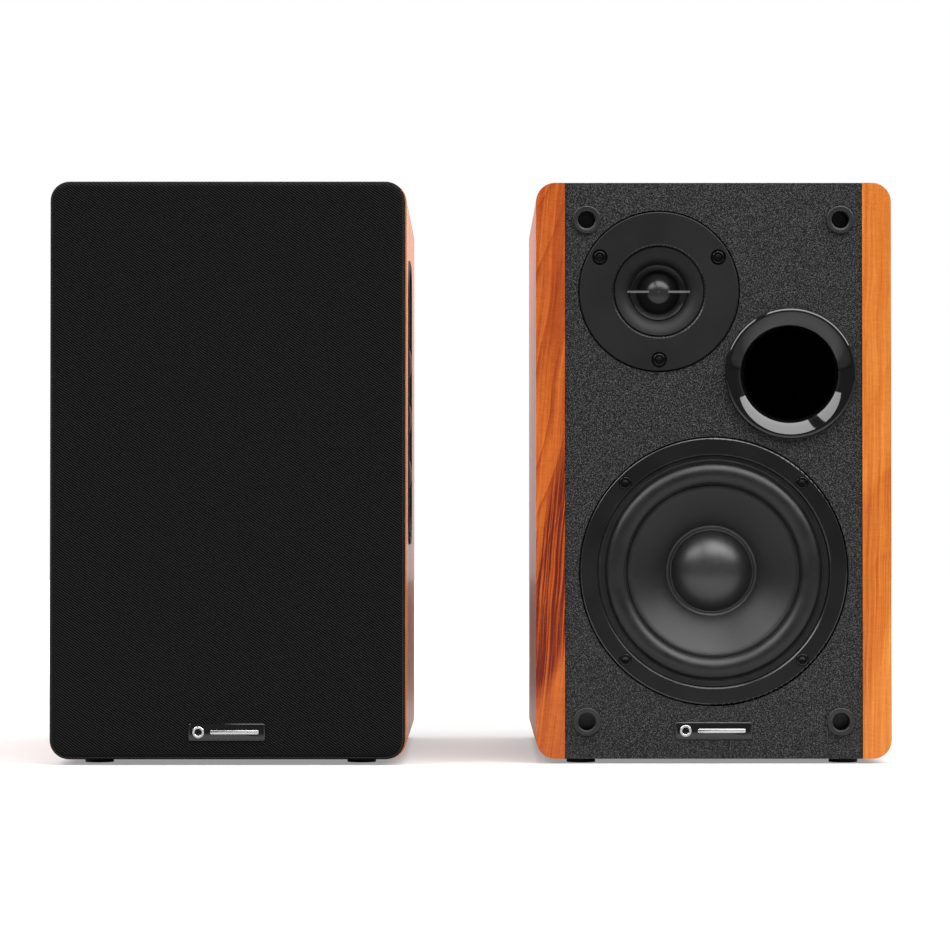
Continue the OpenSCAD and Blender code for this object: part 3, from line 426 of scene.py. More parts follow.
CAP = paper("cap_pulp", 0.014, 0.37, 1.0)
SILK = plastic("silk_dome", 0.002, 0.55, 2200, 0.00001, specular=0.2)
# The cuff's tone, raised well above the dome's, is a painted highlight that brightens the lit crescent at its
# bottom; its lower roughness is its own.
CUFF_PAINTED_HIGHLIGHT = plastic("dome_cuff_painted_highlight", 0.014, 0.3, 2200, 0.00001)
GRILLE = twill("grille_twill")
SPIDER = cloth("spider_cloth", srgb(206, 160, 88))
BASKET = painted("basket_paint", 0.02)
REAR = painted("rear_plate_paint", 0.018, 0.5)
SCREW = metal("black_oxide", (0.05, 0.05, 0.052, 1), 0.12)
ZINC = metal("zinc_plate", (0.56, 0.56, 0.54, 1), 0.3, (1, 1, 0.1))
NICKEL = metal("nickel", (0.78, 0.76, 0.72, 1), 0.16)
SILVER = metal("badge_silver", (0.8, 0.8, 0.8, 1), 0.2, (0.05, 1, 1))
ALUMINIUM = metal("heatsink", (0.72, 0.73, 0.74, 1), 0.35, (1, 1, 0.04))
FERRITE = plastic("ferrite", 0.03, 0.6, 600, 0.00005)
LAMINATION = metal("laminations", (0.22, 0.22, 0.23, 1), 0.5, (1, 0.1, 1))
COPPER = metal("winding", (0.78, 0.36, 0.18, 1), 0.3, (1, 0.2, 1))
KRAFT = paper("former_paper", 0.35, 0.65)
TAPE = plastic("winding_tape", 0.42, 0.5, 300, 0.00002, (1.0, 0.42, 0.06), 0.15)
PCB = circuit("circuit_board")
SMOKED = window("smoked_window")
RED_LEAD = leads("red_lead", srgb(170, 18, 18))
BLACK_LEAD = leads("black_lead", srgb(26, 26, 26))
GREY_LEAD = leads("grey_lead", srgb(140, 140, 140))
CAPACITOR = plastic("capacitor_sleeve", 0.09, 0.3, 500, 0.00001, (0.3, 0.6, 1.9), 0.1)


# ------------------------------------------------------------------ dressing the CAD nodes


class Faces:
    """A node's face centres, as arrays of row coordinates in metres."""

    def __init__(self, mesh):
        flat = np.empty(3 * len(mesh.polygons))
        mesh.polygons.foreach_get("center", flat)
        self.x, self.y, self.z = flat.reshape(-1, 3).T

    def radius(self, centre):
        """Distance from an axis along Y through a point."""
        return np.hypot(self.x - centre.x, self.z - centre.z)


def dress(node, default, *rules):
    """Gives a node its material, and other materials to the faces whose centres pass a test."""
    mesh = NODES[node].data
    mesh.materials.clear()
    mesh.materials.append(default)
    faces = Faces(mesh)
    numbers = np.zeros(len(mesh.polygons), dtype=np.int32)
    for number, (material, test) in enumerate(rules, 1):
        mesh.materials.append(material)
        numbers[test(faces)] = number
    mesh.polygons.foreach_set("material_index", numbers)


def soften(node, width, segments=2, angle=40):
    """Rounds a node's sharp edges a little, so that they catch the light."""
    bevel = NODES[node].modifiers.new("edges", "BEVEL")
    bevel.width = width * MM
    bevel.segments = segments
    bevel.limit_method = "ANGLE"
    bevel.angle_limit = math.radians(angle)
    bevel.harden_normals = True
    bevel.use_clamp_overlap = True


# Places on the drivers that take another material: depths behind the baffle's front, and radii, in mm.
RING_FACE = (-0.49, 0.09)
RING_EDGES_R = (49.05, 55.02)
PLATE_EDGE, PLATE_EDGE_R = (-0.59, -0.31), (19, 20)
BAR_FRONT, BAR_HALF = (2.55, 3.45), 0.5
BULLET_DEPTHS, BULLET_R = (1.3, 3.45), 5.1
CUFF_R, DOME_COIL = 9.4, (8.41, 14)
WOOFER_MAGNET, WOOFER_POLE_R = (37.4, 50.6), 16
TWEETER_MAGNET, TWEETER_CUP, TWEETER_POLE_R = (11.7, 19.9), (0, 8.81), 11
WINDING, FORMER_R = (30.9, 39), 12.8


def dress_speaker(side):
    """Materials and softened edges of one speaker's CAD pieces."""
    centre_x = middle(f"{side}_baffle").x
    plane = baffle_plane(side)
    woofer, tweeter = middle(f"{side}_woofer_ring"), middle(f"{side}_tweeter_faceplate")
    panels = f"{side}_side_panels"

    def depth(f, span):
        return (f.y - plane > span[0] * MM) & (f.y - plane < span[1] * MM)

    def within(f, centre, r):
        return f.radius(centre) < r * MM

    def beyond(f, centre, r):
        return f.radius(centre) > r * MM

    dress(panels, LEFT_WOOD, (RIGHT_WOOD, lambda f: f.x > centre_x))
    dress(f"{side}_shell", WRAP)
    dress(f"{side}_baffle", WRAP)
    dress(f"{side}_feet", FEET)
    dress(f"{side}_woofer_ring", TRIM,
          (RIM, lambda f: depth(f, RING_FACE) & within(f, woofer, RING_EDGES_R[0])),
          (RIM, lambda f: depth(f, RING_FACE) & beyond(f, woofer, RING_EDGES_R[1])))
    dress(f"{side}_woofer_frame", BASKET)
    dress(f"{side}_woofer_spider", SPIDER)
    dress(f"{side}_tweeter_faceplate", FACE,
          (RIM, lambda f: depth(f, PLATE_EDGE) & beyond(f, tweeter, PLATE_EDGE_R[0])
           & within(f, tweeter, PLATE_EDGE_R[1])),
          # The bar's front faces take the light grey of a painted highlight.
          (BAR_PAINTED_HIGHLIGHT, lambda f: depth(f, BAR_FRONT) & (abs(f.z - tweeter.z) < BAR_HALF * MM)),
          # The bullet takes the lighter grey of a painted highlight.
          (BULLET_PAINTED_HIGHLIGHT, lambda f: depth(f, BULLET_DEPTHS) & within(f, tweeter, BULLET_R)))
    dress(f"{side}_tweeter_dome", SILK,
          # The cuff takes the tone raised as a painted highlight.
          (CUFF_PAINTED_HIGHLIGHT, lambda f: beyond(f, tweeter, CUFF_R)),
          (COPPER, lambda f: depth(f, DOME_COIL)))
    dress(f"{side}_woofer_motor", ZINC,
          (FERRITE, lambda f: depth(f, WOOFER_MAGNET) & beyond(f, woofer, WOOFER_POLE_R)))
    dress(f"{side}_tweeter_motor", ZINC,
          (FERRITE, lambda f: depth(f, TWEETER_MAGNET) & beyond(f, tweeter, TWEETER_POLE_R)),
          (MATTE, lambda f: depth(f, TWEETER_CUP) & beyond(f, tweeter, TWEETER_POLE_R)))
    dress(f"{side}_woofer_voice_coil", KRAFT,
          (COPPER, lambda f: depth(f, WINDING) & beyond(f, woofer, FORMER_R)))
    soften(panels, 0.5, 3)
    soften(f"{side}_shell", 0.3)
    soften(f"{side}_feet", 0.4)


# ------------------------------------------------------------------ mesh helpers


def new_object(name, verts, faces, material, smooth=35):
    """A welded mesh object with outward normals, smooth but for edges sharper than smooth degrees."""
    mesh = bpy.data.meshes.new(name)
    mesh.from_pydata([tuple(v) for v in verts], [], faces)
    shell = bmesh.new()
    shell.from_mesh(mesh)
    bmesh.ops.remove_doubles(shell, verts=shell.verts, dist=1e-7)
    bmesh.ops.recalc_face_normals(shell, faces=shell.faces)
    shell.to_mesh(mesh)
    shell.free()
    mesh.shade_smooth()
    mesh.set_sharp_from_angle(angle=math.radians(smooth))
    mesh.materials.append(material)
    piece = bpy.data.objects.new(name, mesh)
    bpy.context.scene.collection.objects.link(piece)
    return piece


def arc(centre_r, centre_d, radius, start, end, steps):
    """Profile points round an arc, angles in degrees: 0 points outwards, 90 towards the front."""
    angles = np.radians(np.linspace(start, end, steps + 1))
    return [(centre_r + radius * math.cos(a), centre_d - radius * math.sin(a)) for a in angles]


def lathe_mesh(centre, profile, segments, closed):
    """Turns (radius, depth) points in mm about the Y axis through centre. A closed profile makes a ring."""
    verts, faces, rings = [], [], []
    for r, d in profile:
        if r < 1e-6:
            rings.append([len(verts)])
            verts.append((centre.x, centre.y + d * MM, centre.z))
            continue
        rings.append(list(range(len(verts), len(verts) + segments)))
        for k in range(segments):
            a = 2 * math.pi * k / segments
            out_x, out_z = r * MM * math.cos(a), r * MM * math.sin(a)
            verts.append((centre.x + out_x, centre.y + d * MM, centre.z + out_z))
    pairs = list(zip(rings, rings[1:])) + ([(rings[-1], rings[0])] if closed else [])
    for a, b in pairs:
        for k in range(segments):
            j = (k + 1) % segments
            if len(a) == 1 and len(b) > 1:
                faces.append((a[0], b[k], b[j]))
            elif len(b) == 1 and len(a) > 1:
                faces.append((a[k], a[j], b[0]))
            elif len(a) > 1:
                faces.append((a[k], a[j], b[j], b[k]))
    return verts, faces


def lathe(name, centre, profile, material, segments=160, closed=True, smooth=35):
    return new_object(name, *lathe_mesh(centre, profile, segments, closed), material, smooth)


def join(name, meshes, material, smooth=35):
    """One object from several (verts, faces) pairs."""
    verts, faces = [], []
    for v, f in meshes:
        faces += [tuple(i + len(verts) for i in face) for face in f]
        verts += v
    return new_object(name, verts, faces, material, smooth)


def rounded_outline(width, height, corner, steps=10):
    """Points of a rounded rectangle about the origin, going round once."""
    points = []
    for sx, sz, start in ((1, 1, 0), (-1, 1, 90), (-1, -1, 180), (1, -1, 270)):
        cx, cz = sx * (width / 2 - corner), sz * (height / 2 - corner)
        for k in range(steps + 1):
            a = math.radians(start + 90 * k / steps)
            points.append((cx + corner * math.cos(a), cz + corner * math.sin(a)))
    return points


def loft(rings, cap_start=False, cap_end=False):
    """(verts, faces) through rings of equal length, each a list of points."""
    verts = [p for ring in rings for p in ring]
    size = len(rings[0])
    faces = []
    for k in range(len(rings) - 1):
        for i in range(size):
            j = (i + 1) % size
            faces.append((k * size + i, k * size + j, (k + 1) * size + j, (k + 1) * size + i))
    if cap_start:
        faces.append(tuple(range(size)))
    if cap_end:
        faces.append(tuple((len(rings) - 1) * size + i for i in range(size)))
    return verts, faces


def at_depth(point, plane):
    """The point moved along Y to a plane."""
    return Vector((point.x, plane, point.z))


# ------------------------------------------------------------------ woofer

# Radii and depths behind the baffle's front, in mm. The profiles are lists of such pairs.
ROLL_R, ROLL_SIZE, ROLL_ARC_R, ROLL_SKIN = 40.8, 4.6, 5.05, 0.7
ROLL_INNER, ROLL_OUTER = ROLL_R - ROLL_SIZE, ROLL_R + ROLL_SIZE
ROLL_SUNK = math.sqrt(ROLL_ARC_R ** 2 - ROLL_SIZE ** 2)
ROLL_END = math.degrees(math.asin(ROLL_SUNK / ROLL_ARC_R))
FLANGE_R, FLANGE_BACK = 48.2, 2.46
LIP_DEPTH, LIP_R, NECK_R = 2.1, 34.6, 12.9
CONE_FRONT, CONE_DEPTH, CONE_SAG, CONE_WALL, CONE_STEPS = 2.75, 17.3, 0.8, 0.8, 16
CAP_R, CAP_RISE, CAP_BASE, CAP_SKIN = 16.8, 8.0, 14.5, 0.35
ROUND = 200


def surround_profile():
    """Clamped flange with a bead, half-round roll and a ribbed lip on the cone, then back behind them."""
    arch = (ROLL_R, LIP_DEPTH + ROLL_SUNK)
    front = [(FLANGE_R, 2.3), (FLANGE_R, 1.72), (48.05, 1.6), (46.7, 1.6)]
    front += [(46.5, 1.45), (46.2, 1.38), (45.9, 1.5), (45.7, 1.85)]
    front += arc(*arch, ROLL_ARC_R, ROLL_END + 3, 177 - ROLL_END, 30)
    front += [(ROLL_INNER + 0.02, 2.3), (ROLL_INNER - 0.15, 2.42)]
    front += [(ROLL_INNER - 0.4, 2.3), (ROLL_INNER - 0.55, 2.1)]
    front += [(LIP_R + 0.5, 2.05), (LIP_R + 0.2, 2.1), (LIP_R, 2.3), (LIP_R - 0.02, 2.66)]
    back = [(ROLL_INNER - 0.1, 2.68), (ROLL_INNER + 0.45, 2.66)]
    back += arc(*arch, ROLL_ARC_R - ROLL_SKIN, 170 - ROLL_END, ROLL_END + 8, 24)
    return front + back + [(ROLL_OUTER + 0.2, FLANGE_BACK), (FLANGE_R, FLANGE_BACK)]


def cone_profile():
    """A slightly curved wall from the lip to the neck, with the flat rim under the surround's lip."""
    wall = []
    for k in range(CONE_STEPS + 1):
        t = k / CONE_STEPS
        depth = CONE_FRONT + CONE_DEPTH * t - CONE_SAG * math.sin(math.pi * t)
        wall.append((LIP_R - 0.1 + (NECK_R - LIP_R) * t, depth))
    behind = [(r, d + CONE_WALL) for r, d in reversed(wall)]
    return [(ROLL_INNER, 2.72), (LIP_R + 0.1, 2.72)] + wall + behind + [(ROLL_INNER, 3.4)]


def cap_profile():
    """Glue line on the cone, rounded bead and spherical cap, to the axis."""
    ball = (CAP_R ** 2 + CAP_RISE ** 2) / (2 * CAP_RISE)
    reach = math.degrees(math.asin(CAP_R / ball))
    glue = [(2.45, 0.25), (2.3, -0.1), (2.0, -0.25), (1.6, -0.05), (1.2, 0.25)]
    bead = [(0.95, 0.35), (0.85, 0.05), (0.6, -0.18), (0.3, -0.12), (0.08, 0.12)]
    edge = [(CAP_R + r, CAP_BASE + d) for r, d in glue + bead]
    return edge + arc(0, CAP_BASE - CAP_RISE + ball, ball, 90 - reach, 90, 24)


def woofer_soft_parts(side):
    centre = at_depth(middle(f"{side}_woofer_ring"), baffle_plane(side))
    cabinet, cone_body = f"{side}_cabinet", f"{side}_cone"

    surround = lathe(f"{side}_surround_roll", centre, surround_profile(), SURROUND, ROUND)
    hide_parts(f"{side}_woofer_surround")
    radial_blend(surround)

    cone = lathe(f"{side}_cone_pulp", centre, cone_profile(), CONE, ROUND)
    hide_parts(f"{side}_woofer_cone")
    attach(cone, cone_body)

    cap = lathe(f"{side}_cap_pulp", centre, cap_profile(), CAP, ROUND, closed=False, smooth=60)
    thicken(cap, CAP_SKIN)
    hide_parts(f"{side}_woofer_dust_cap")
    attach(cap, cone_body)


def thicken(piece, thickness):
    """Gives an open shell a thickness in mm, inwards."""
    solid = piece.modifiers.new("thickness", "SOLIDIFY")
    solid.thickness = thickness * MM
    solid.offset = -1


def radial_blend(piece):
    """Bakes the ring's placement into its mesh; the ring is tied to no body and does not flex."""
    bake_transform(piece)


for each in SIDES:
    woofer_soft_parts(each)


# ------------------------------------------------------------------ screws and grille sockets


def solids(node):
    """The separate solids of a CAD node, each as its face numbers, lowest corner and highest corner."""
    mesh = NODES[node].data
    where, parent = {}, []

    def find(i):
        while parent[i] != i:
            parent[i] = parent[parent[i]]
            i = parent[i]
        return i

    spot = []
    for vertex in mesh.vertices:
        key = tuple(round(c / (0.01 * MM)) for c in vertex.co)
        if key not in where:
            where[key] = len(parent)
            parent.append(len(parent))
        spot.append(where[key])
    for face in mesh.polygons:
        first = find(spot[face.vertices[0]])
        for other in face.vertices[1:]:
            parent[find(spot[other])] = first
    groups = {}
    for face in mesh.polygons:
        groups.setdefault(find(spot[face.vertices[0]]), []).append(face.index)
    found = []
    for faces in groups.values():
        co = np.array([mesh.vertices[v].co for f in faces for v in mesh.polygons[f].vertices])
        found.append((set(faces), Vector(co.min(0)), Vector(co.max(0))))
    return found


# Where the tweeter's capacitor lies on its lead: X from the cabinet's middle, Y from the baffle's front and
# Z from the tweeter, in mm.
CAPACITOR_AT, CAPACITOR_R, CAPACITOR_HALF = (-44, 80.4, -20), (1.2, 6.3), 11.2
LOOM_NARROW, LOOM_RIGHT, LOOM_BOARD, LOOM_LOW = 60, 20, 5, 15


def dress_loom(side):
    """Leads that start on the right are black, those from the control board grey, and the rest red."""
    node = f"{side}_loom"
    dress(node, RED_LEAD)
    mesh = NODES[node].data
    for material in (BLACK_LEAD, GREY_LEAD, CAPACITOR):
        mesh.materials.append(material)
    red, black, grey_lead, capacitor = range(4)
    origin = Vector((middle(f"{side}_baffle").x, baffle_plane(side), middle(f"{side}_tweeter_faceplate").z))
    core = origin + Vector(CAPACITOR_AT) * MM
    for faces, low, high in solids(node):
        if low.x > origin.x + LOOM_RIGHT * MM:
            kind = grey_lead
        elif high.x > origin.x + LOOM_BOARD * MM:
            kind = black
        else:
            kind = red
        for number in faces:
            mesh.polygons[number].material_index = kind
        narrow, high_up = high.x - low.x < LOOM_NARROW * MM, high.z > origin.z - LOOM_LOW * MM
        if not (kind == red and narrow and high_up):
            continue
        for number in faces:
            c = mesh.polygons[number].center
            r = math.hypot(c.x - core.x, c.z - core.z) / MM
            if CAPACITOR_R[0] < r < CAPACITOR_R[1] and abs(c.y - core.y) < CAPACITOR_HALF * MM:
                mesh.polygons[number].material_index = capacitor


for each in SIDES:
    dress_speaker(each)
    dress_loom(each)


HEAD_R, HEAD_H, HEAD_ROUND, HEX_R, HEX_DEPTH, HEX_CHAMFER = 2.5, 1.8, 0.4, 1.45, 1.2, 0.3
SHANK_R, SHANK_END, SCREW_SIDES, FRONT_REACH = 1.5, 10.0, 48, 5


def screw_mesh(place, outwards):
    """A socket-head screw with its head's outer face at place, facing +Y or -Y, and its shank behind it."""
    turn = [2 * math.pi * k / SCREW_SIDES for k in range(SCREW_SIDES)]
    profile = [(SHANK_R, SHANK_END), (SHANK_R, HEAD_H), (HEAD_R, HEAD_H), (HEAD_R, HEAD_ROUND)]
    profile += arc(HEAD_R - HEAD_ROUND, HEAD_ROUND, HEAD_ROUND, 15, 90, 5) + [(1.9, 0.0)]
    rings = [[(r, d, a) for a in turn] for r, d in profile]
    for grow, d in ((HEX_CHAMFER, 0.0), (0.0, HEX_CHAMFER), (0.0, HEX_DEPTH), (-1.0, HEX_DEPTH + 0.25)):
        ring = []
        for a in turn:
            side = (a % (math.pi / 3)) - math.pi / 6
            ring.append((max((HEX_R + grow) * math.cos(math.pi / 6) / math.cos(side), 0.05), d, a))
        rings.append(ring)
    turned = [[(place.x + r * MM * math.cos(a), place.y - outwards * d * MM, place.z + r * MM * math.sin(a))
               for r, d, a in ring] for ring in rings]
    return loft(turned, True, True)


def screws(side):
    """Socket-head screws in place of the CAD ones, facing forwards on the baffle and backwards elsewhere."""
    node = f"{side}_screws"
    meshes = []
    for _, low, high in solids(node):
        forwards = low.y < baffle_plane(side) + FRONT_REACH * MM
        place = Vector(((low.x + high.x) / 2, low.y if forwards else high.y, (low.z + high.z) / 2))
        meshes.append(screw_mesh(place, -1 if forwards else 1))
    piece = join(f"{side}_socket_screws", meshes, SCREW, 30)
    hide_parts(node)
    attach(piece, f"{side}_cabinet")


PEG_R, PEG_DEPTH, SOCKET_BODY_R, SOCKET_END, SOCKET_EDGE = 3.6, 9.0, 4.7, 10.0, 0.5


def grille_sockets(side):
    """Rings with a rounded edge and an eased bore, which take the grille's pegs."""
    node = f"{side}_grille_sockets"
    meshes = []
    for _, low, high in solids(node):
        place = Vector(((low.x + high.x) / 2, baffle_plane(side), (low.z + high.z) / 2))
        lip, proud = (high.x - low.x) / 2 / MM, (baffle_plane(side) - low.y) / MM
        profile = [(0.0, PEG_DEPTH), (PEG_R, PEG_DEPTH)]
        profile += [(PEG_R, 0.5 - proud), (PEG_R + 0.1, 0.25 - proud), (PEG_R + 0.35, 0.05 - proud)]
        profile += arc(lip - SOCKET_EDGE, SOCKET_EDGE - proud, SOCKET_EDGE, 90, 0, 6)
        profile += [(lip, 0.0), (SOCKET_BODY_R, 0.0), (SOCKET_BODY_R, SOCKET_END), (0.0, SOCKET_END)]
        meshes.append(lathe_mesh(place, profile, 72, False))
    piece = join(f"{side}_peg_sockets", meshes, SOCKET, 40)
    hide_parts(node)
    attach(piece, f"{side}_cabinet")


for each in SIDES:
    screws(each)
    grille_sockets(each)


# ------------------------------------------------------------------ port

PORT_BORE, PORT_EDGE, PORT_WALL, PORT_COLLAR, PORT_NECK = 19.0, 1.4, 2.0, 3.9, 1.2
PORT_TUBE_START, CREST_TURN, NECK_TURN = 12.0, 20, 45


def port(side):
    """A flared port: rounded rim, crest, a wide arc into the mouth, a neck arc and the tube."""
    plane = baffle_plane(side)
    low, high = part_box(f"{side}_port")
    flange = (high[0] - low[0]) / 2 / MM
    proud, end = (plane - low[1]) / MM, (high[1] - plane) / MM

    neck, steep, gentle = PORT_BORE + PORT_NECK, math.radians(NECK_TURN), math.radians(CREST_TURN)
    neck_round = PORT_NECK / (1 - math.sin(steep))
    crest = (flange - PORT_EDGE, PORT_EDGE - proud)
    top = (crest[0] - PORT_EDGE * math.sin(gentle), crest[1] - PORT_EDGE * math.cos(gentle))
    flare = (top[0] - neck) / (math.sin(steep) - math.sin(gentle))
    hub = (top[0] + flare * math.sin(gentle), top[1] + flare * math.cos(gentle))
    neck_depth = hub[1] - (flare - neck_round) * math.cos(steep)

    profile = [(flange, 0.0)] + arc(*crest, PORT_EDGE, 0, 90 + CREST_TURN, 18)
    profile += arc(*hub, flare, 92 + CREST_TURN, 88 + NECK_TURN, 22)
    profile += arc(PORT_BORE + neck_round, neck_depth, neck_round, 90 + NECK_TURN, 180, 16)
    profile += [(PORT_BORE, PORT_TUBE_START), (PORT_BORE, end), (PORT_BORE + PORT_WALL, end)]
    profile += [(PORT_BORE + PORT_WALL, neck_depth + 1), (PORT_BORE + PORT_COLLAR, neck_depth + 0.9),
                (PORT_BORE + PORT_COLLAR, 0.0)]
    piece = lathe(f"{side}_port_flare", at_depth(middle(f"{side}_port"), plane), profile, PORT, 240)
    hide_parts(f"{side}_port")
    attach(piece, f"{side}_cabinet")


for each in SIDES:
    port(each)


# ------------------------------------------------------------------ grille cloth

CLOTH_EDGE_R, CLOTH_CORNER, CLOTH_HEM, CLOTH_FLAT = 2.6, 8.0, 9.0, 6.5
EDGE_STEPS = 8


def grille_cloth():
    """One sheet over the front with rounded edges, turned in behind the frame."""
    low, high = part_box("grille_cloth")
    centre = middle("grille_cloth")
    width, height = (high[0] - low[0]) / MM, (high[2] - low[2]) / MM
    front, back = low[1] / MM, high[1] / MM
    steps = [(CLOTH_HEM, back + 0.15), (1.2, back + 0.15), (0.3, back - 0.3), (0.0, back - 1.4)]
    for k in range(EDGE_STEPS + 1):
        a = math.pi / 2 * k / EDGE_STEPS
        steps.append((CLOTH_EDGE_R * (1 - math.cos(a)), front + CLOTH_EDGE_R * (1 - math.sin(a))))
    steps.append((CLOTH_FLAT, front + 0.02))
    rings = []
    for inset, y in steps:
        points = rounded_outline(width - 2 * inset, height - 2 * inset, max(CLOTH_CORNER - inset, 1))
        rings.append([(centre.x + x * MM, y * MM, centre.z + z * MM) for x, z in points])
    piece = new_object("grille_cloth_wrap", *loft(rings, cap_end=True), GRILLE, smooth=60)
    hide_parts("grille_cloth")
    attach(piece, "grille")


grille_cloth()


# ------------------------------------------------------------------ badges: a generic ring and bar

MARK_TOP, MARK_STEP, MARK_SUNK = 0.26, 0.15, 0.05
RING_FROM_END, RING_INNER, RING_OUTER = 4.0, 1.5, 2.4
MARK_BAR, BAR_SHIFT, MARK_EASE = (20.0, 1.6, 0.7), 3.2, 0.12


def badge(node, body):
    """A glossy plate with eased edges that carries a raised silver ring and bar."""
    low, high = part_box(node)
    centre = middle(node)
    width, height, thickness = high[0] - low[0], high[2] - low[2], high[1] - low[1]
    top = low[1] + 0.32 * thickness
    rings = []
    for inset, y in ((0, high[1]), (0, low[1] + 0.55 * thickness), (0.12 * MM, low[1] + 0.4 * thickness),
                     (0.35 * MM, top)):
        points = rounded_outline(width - 2 * inset, height - 2 * inset, 0.8 * MM, 6)
        rings.append([(centre.x + x, y, centre.z + z) for x, z in points])
    plate = new_object(f"{node}_plate", *loft(rings, True, True), BADGE)

    profile = [(RING_INNER, MARK_SUNK), (RING_INNER, -MARK_STEP), (RING_INNER + MARK_EASE, -MARK_TOP),
               (RING_OUTER - MARK_EASE, -MARK_TOP), (RING_OUTER, -MARK_STEP), (RING_OUTER, MARK_SUNK)]
    ring_mark = lathe_mesh(Vector((low[0] + RING_FROM_END * MM, top, centre.z)), profile, 64, True)
    bar = []
    for inset, rise in ((0, -MARK_SUNK), (0, MARK_STEP), (MARK_EASE, MARK_TOP)):
        long, wide, corner = MARK_BAR
        points = rounded_outline((long - 2 * inset) * MM, (wide - 2 * inset) * MM, corner * MM, 6)
        bar.append([(centre.x + BAR_SHIFT * MM + x, top - rise * MM, centre.z + z) for x, z in points])
    mark = join(f"{node}_mark", [ring_mark, loft(bar, True, True)], SILVER)
    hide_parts(node)
    for piece in (plate, mark):
        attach(piece, body)


badge("grille_badge", "grille")
badge("passive_badge", "passive_cabinet")


# ------------------------------------------------------------------ active cabinet: controls and rear

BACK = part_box("amp_plate")[0][1]
SLACK = 0.05 * MM
BOARD_SKIN = 1.7

dress("grille_frame", MATTE)
dress("control_panel", TRAY)
dress("ir_window", SMOKED)
for knob in ("treble_knob", "bass_knob", "volume_knob"):
    dress(knob, KNOB)
    soften(knob, 0.25)
board_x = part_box("control_board")[0][0]
dress("control_board", ZINC, (PCB, lambda f: f.x < board_x + BOARD_SKIN * MM))
dress("amp_plate", REAR)
soften("amp_plate", 0.25)

# In front of the amplifier board the capacitors stand up to CAPS_H, with the heatsink above them.
BOARD_AT, BOARD_THICK, CAPS_H, CAPS_LONG, INDUCTOR_X = 26, 1.6, 30, 24.95, 27
board_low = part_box("amp_board")[0]
board_front = board_low[1] + BOARD_AT * MM
board_back, caps_top = board_front + BOARD_THICK * MM, board_low[2] + CAPS_H * MM
dress("amp_board", PCB,
      (ALUMINIUM, lambda f: f.y < board_front - SLACK),
      (CAPACITOR, lambda f: (f.y < board_front - SLACK) & (f.z < caps_top)),
      (ALUMINIUM, lambda f: (f.y < board_front - CAPS_LONG * MM) & (f.z < caps_top)),
      (MATTE, lambda f: (f.y < board_front - SLACK) & (f.x > middle("amp_board").x + INDUCTOR_X * MM)),
      (NICKEL, lambda f: f.y > board_back + SLACK))

COIL_OVERHANG, FOOT_STRAP = 9, 1.25
core_low, core_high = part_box("transformer")
dress("transformer", LAMINATION,
      (TAPE, lambda f: (f.y < core_low[1] + COIL_OVERHANG * MM - SLACK)
       | (f.y > core_high[1] - COIL_OVERHANG * MM + SLACK)),
      (ZINC, lambda f: f.z < core_low[2] + FOOT_STRAP * MM))

FIRST_BARREL, BARREL_X, BARREL_Z = (7, 9), 16, 18
BARREL_HOLE_R, BARREL_R, COLLAR_R = 1.7, 4.2, 5.2


def barrels(column):
    """The two input barrels of a column stand at these places."""
    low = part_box("input_sockets")[0]
    x = low[0] + (FIRST_BARREL[0] + BARREL_X * column) * MM
    return [Vector((x, 0, low[2] + (FIRST_BARREL[1] + BARREL_Z * row) * MM)) for row in (0, 1)]


def rear_rings(f, places, inner, outer):
    """Faces outside the rear plate that lie between two radii about any of the places."""
    gaps = np.min([f.radius(p) for p in places], axis=0)
    return (f.y > BACK - SLACK) & (gaps > inner * MM) & (gaps < outer * MM)


dress("input_sockets", MATTE,
      (WHITE, lambda f: rear_rings(f, barrels(0), BARREL_R, COLLAR_R)),
      (RED, lambda f: rear_rings(f, barrels(1), BARREL_R, COLLAR_R)),
      (NICKEL, lambda f: rear_rings(f, barrels(0) + barrels(1), BARREL_HOLE_R, BARREL_R)))

# The inlet's three pins: places in X and Z from the inlet's middle, half section, depths before the plate.
PIN_PLACES, PIN_HALF, PIN_DEPTHS = ((4, 1), (11, -3.5), (18, 1)), (1.05, 2.05), (1.5, 12.9)
inlet = middle("mains_inlet")


def on_pins(f):
    hit = np.zeros(len(f.x), bool)
    for x, z in PIN_PLACES:
        beside, above = abs(f.x - inlet.x - x * MM), abs(f.z - inlet.z - z * MM)
        hit |= (beside < PIN_HALF[0] * MM) & (above < PIN_HALF[1] * MM)
    return hit & (f.y > BACK - PIN_DEPTHS[1] * MM) & (f.y < BACK - PIN_DEPTHS[0] * MM)


dress("mains_inlet", MATTE, (NICKEL, on_pins))
for moulding in ("output_terminal", "passive_terminal_cup"):
    dress(moulding, MATTE)
for part, material in (("power_rocker", RED), ("output_lever_red", RED), ("output_lever_black", KNOB),
                       ("passive_lever_red", RED), ("passive_lever_black", KNOB)):
    dress(part, material)
    soften(part, 0.2)
for moulding in ("mains_inlet", "output_terminal", "passive_terminal_cup"):
    soften(moulding, 0.3)


# ------------------------------------------------------------------ floor, light and camera


def softbox(name, place, size, radiance):
    """A softbox that faces straight down, as bright as the radiance it shows, out of the camera's sight."""
    lamp = bpy.data.lights.new(name, "AREA")
    lamp.shape = "RECTANGLE"
    lamp.size, lamp.size_y = size
    lamp.energy = radiance * math.pi * size[0] * size[1]
    piece = bpy.data.objects.new(name, lamp)
    bpy.context.scene.collection.objects.link(piece)
    piece.location = place
    piece.visible_camera = False


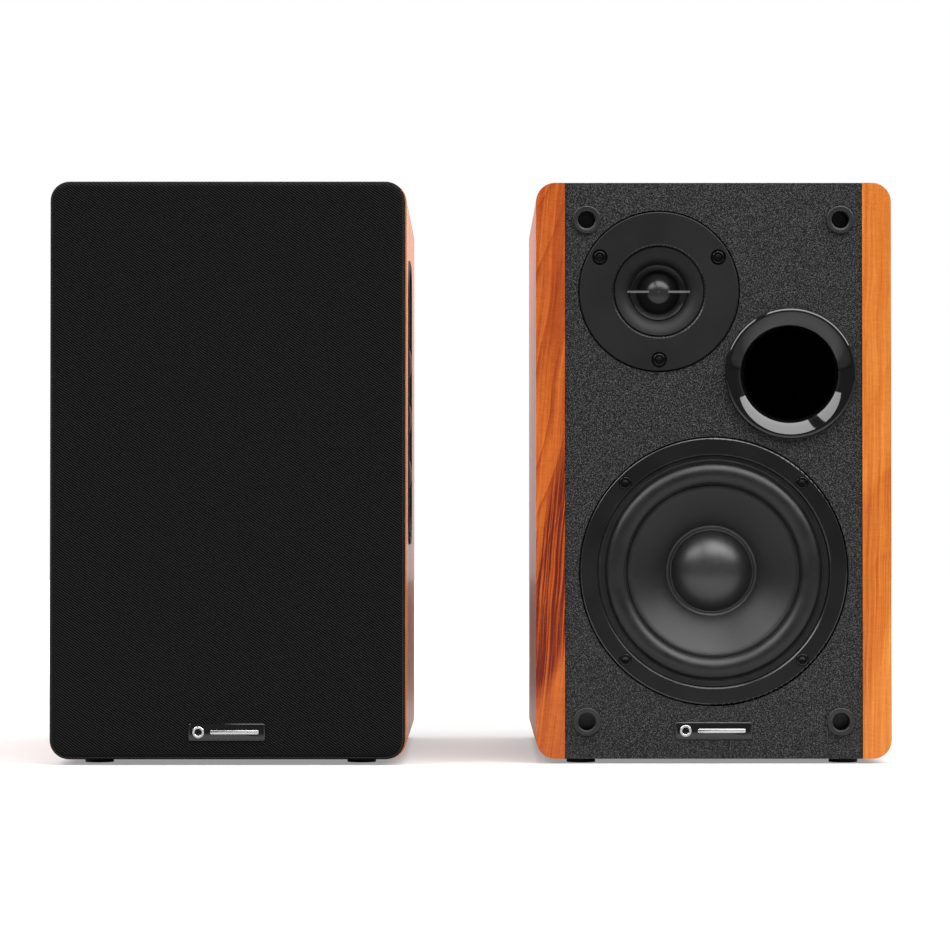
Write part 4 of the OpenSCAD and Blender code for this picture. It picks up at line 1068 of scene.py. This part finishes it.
def floor():
    """A pale sheet that runs out to white; to light it is greyer, so that it doesn't flood the fronts."""
    half = 6.0
    verts = [(-half, -half, 0), (half, -half, 0), (half, half, 0), (-half, half, 0)]
    n = Nodes("studio_floor")
    seen = n.add("ShaderNodeLightPath").outputs["Is Camera Ray"]
    away = n.length(n.position())
    shown = n.ramp(n.noise(n.position(), scale=3), (0.3, grey(0.48)), (0.7, grey(0.5)))
    bounce = n.ramp(n.span(away, 0.25, 0.65), (0.0, grey(0.42)), (1.0, grey(0.13)))
    lift = n.span(away, 0.55, 1.1, 0.3, 1.0)
    n.out(Base_Color=n.mix(seen, bounce, shown), Roughness=0.9, Specular_IOR_Level=0.1,
          Emission_Color=grey(1), Emission_Strength=n.math("MULTIPLY", seen, lift))
    new_object("studio_floor", verts, [(0, 1, 2, 3)], n.material)


def backdrop():
    """White to the camera; to the speakers bright behind, dim in front, so that black faces stay black."""
    dim, bright = 0.13, 0.95
    world = bpy.data.worlds.new("studio")
    world.use_nodes = True
    tree = world.node_tree
    split = tree.nodes.new("ShaderNodeSeparateXYZ")
    tree.links.new(tree.nodes.new("ShaderNodeTexCoord").outputs["Generated"], split.inputs["Vector"])
    depth = tree.nodes.new("ShaderNodeMapRange")
    for key, value in (("From Min", -0.25), ("From Max", 0.5), ("To Min", dim), ("To Max", bright)):
        depth.inputs[key].default_value = value
    tree.links.new(split.outputs["Y"], depth.inputs["Value"])
    seen = tree.nodes.new("ShaderNodeMath")
    seen.operation = "MAXIMUM"
    tree.links.new(tree.nodes.new("ShaderNodeLightPath").outputs["Is Camera Ray"], seen.inputs[0])
    tree.links.new(depth.outputs["Result"], seen.inputs[1])
    background = tree.nodes["Background"]
    background.inputs["Color"].default_value = grey(1)
    tree.links.new(seen.outputs[0], background.inputs["Strength"])
    bpy.context.scene.world = world
    bpy.context.scene.view_settings.view_transform = "Standard"


def camera():
    """Square on to the drivers, from a little below the cabinets' middle."""
    view_width, view_middle = 0.3958, Vector((0.00156, 0, 0.1201))
    distance, height, sensor = 1.5, 0.095, 36
    front = baffle_plane("passive")
    lens = bpy.data.cameras.new("camera")
    lens.sensor_width = sensor
    lens.lens = sensor * distance / view_width
    lens.clip_end = 20
    piece = bpy.data.objects.new("camera", lens)
    bpy.context.scene.collection.objects.link(piece)
    piece.location = (view_middle.x, front - distance, height)
    aim = Vector((view_middle.x, front, view_middle.z))
    piece.rotation_euler = (aim - piece.location).to_track_quat("-Z", "Y").to_euler()
    bpy.context.scene.camera = piece


floor()
backdrop()
softbox("overhead_right", (1.13, -0.6, 1.28), (2.6, 1.8), 4.7)
softbox("overhead_left", (-1.3, -0.6, 1.28), (1.72, 1.8), 4.3)
camera()
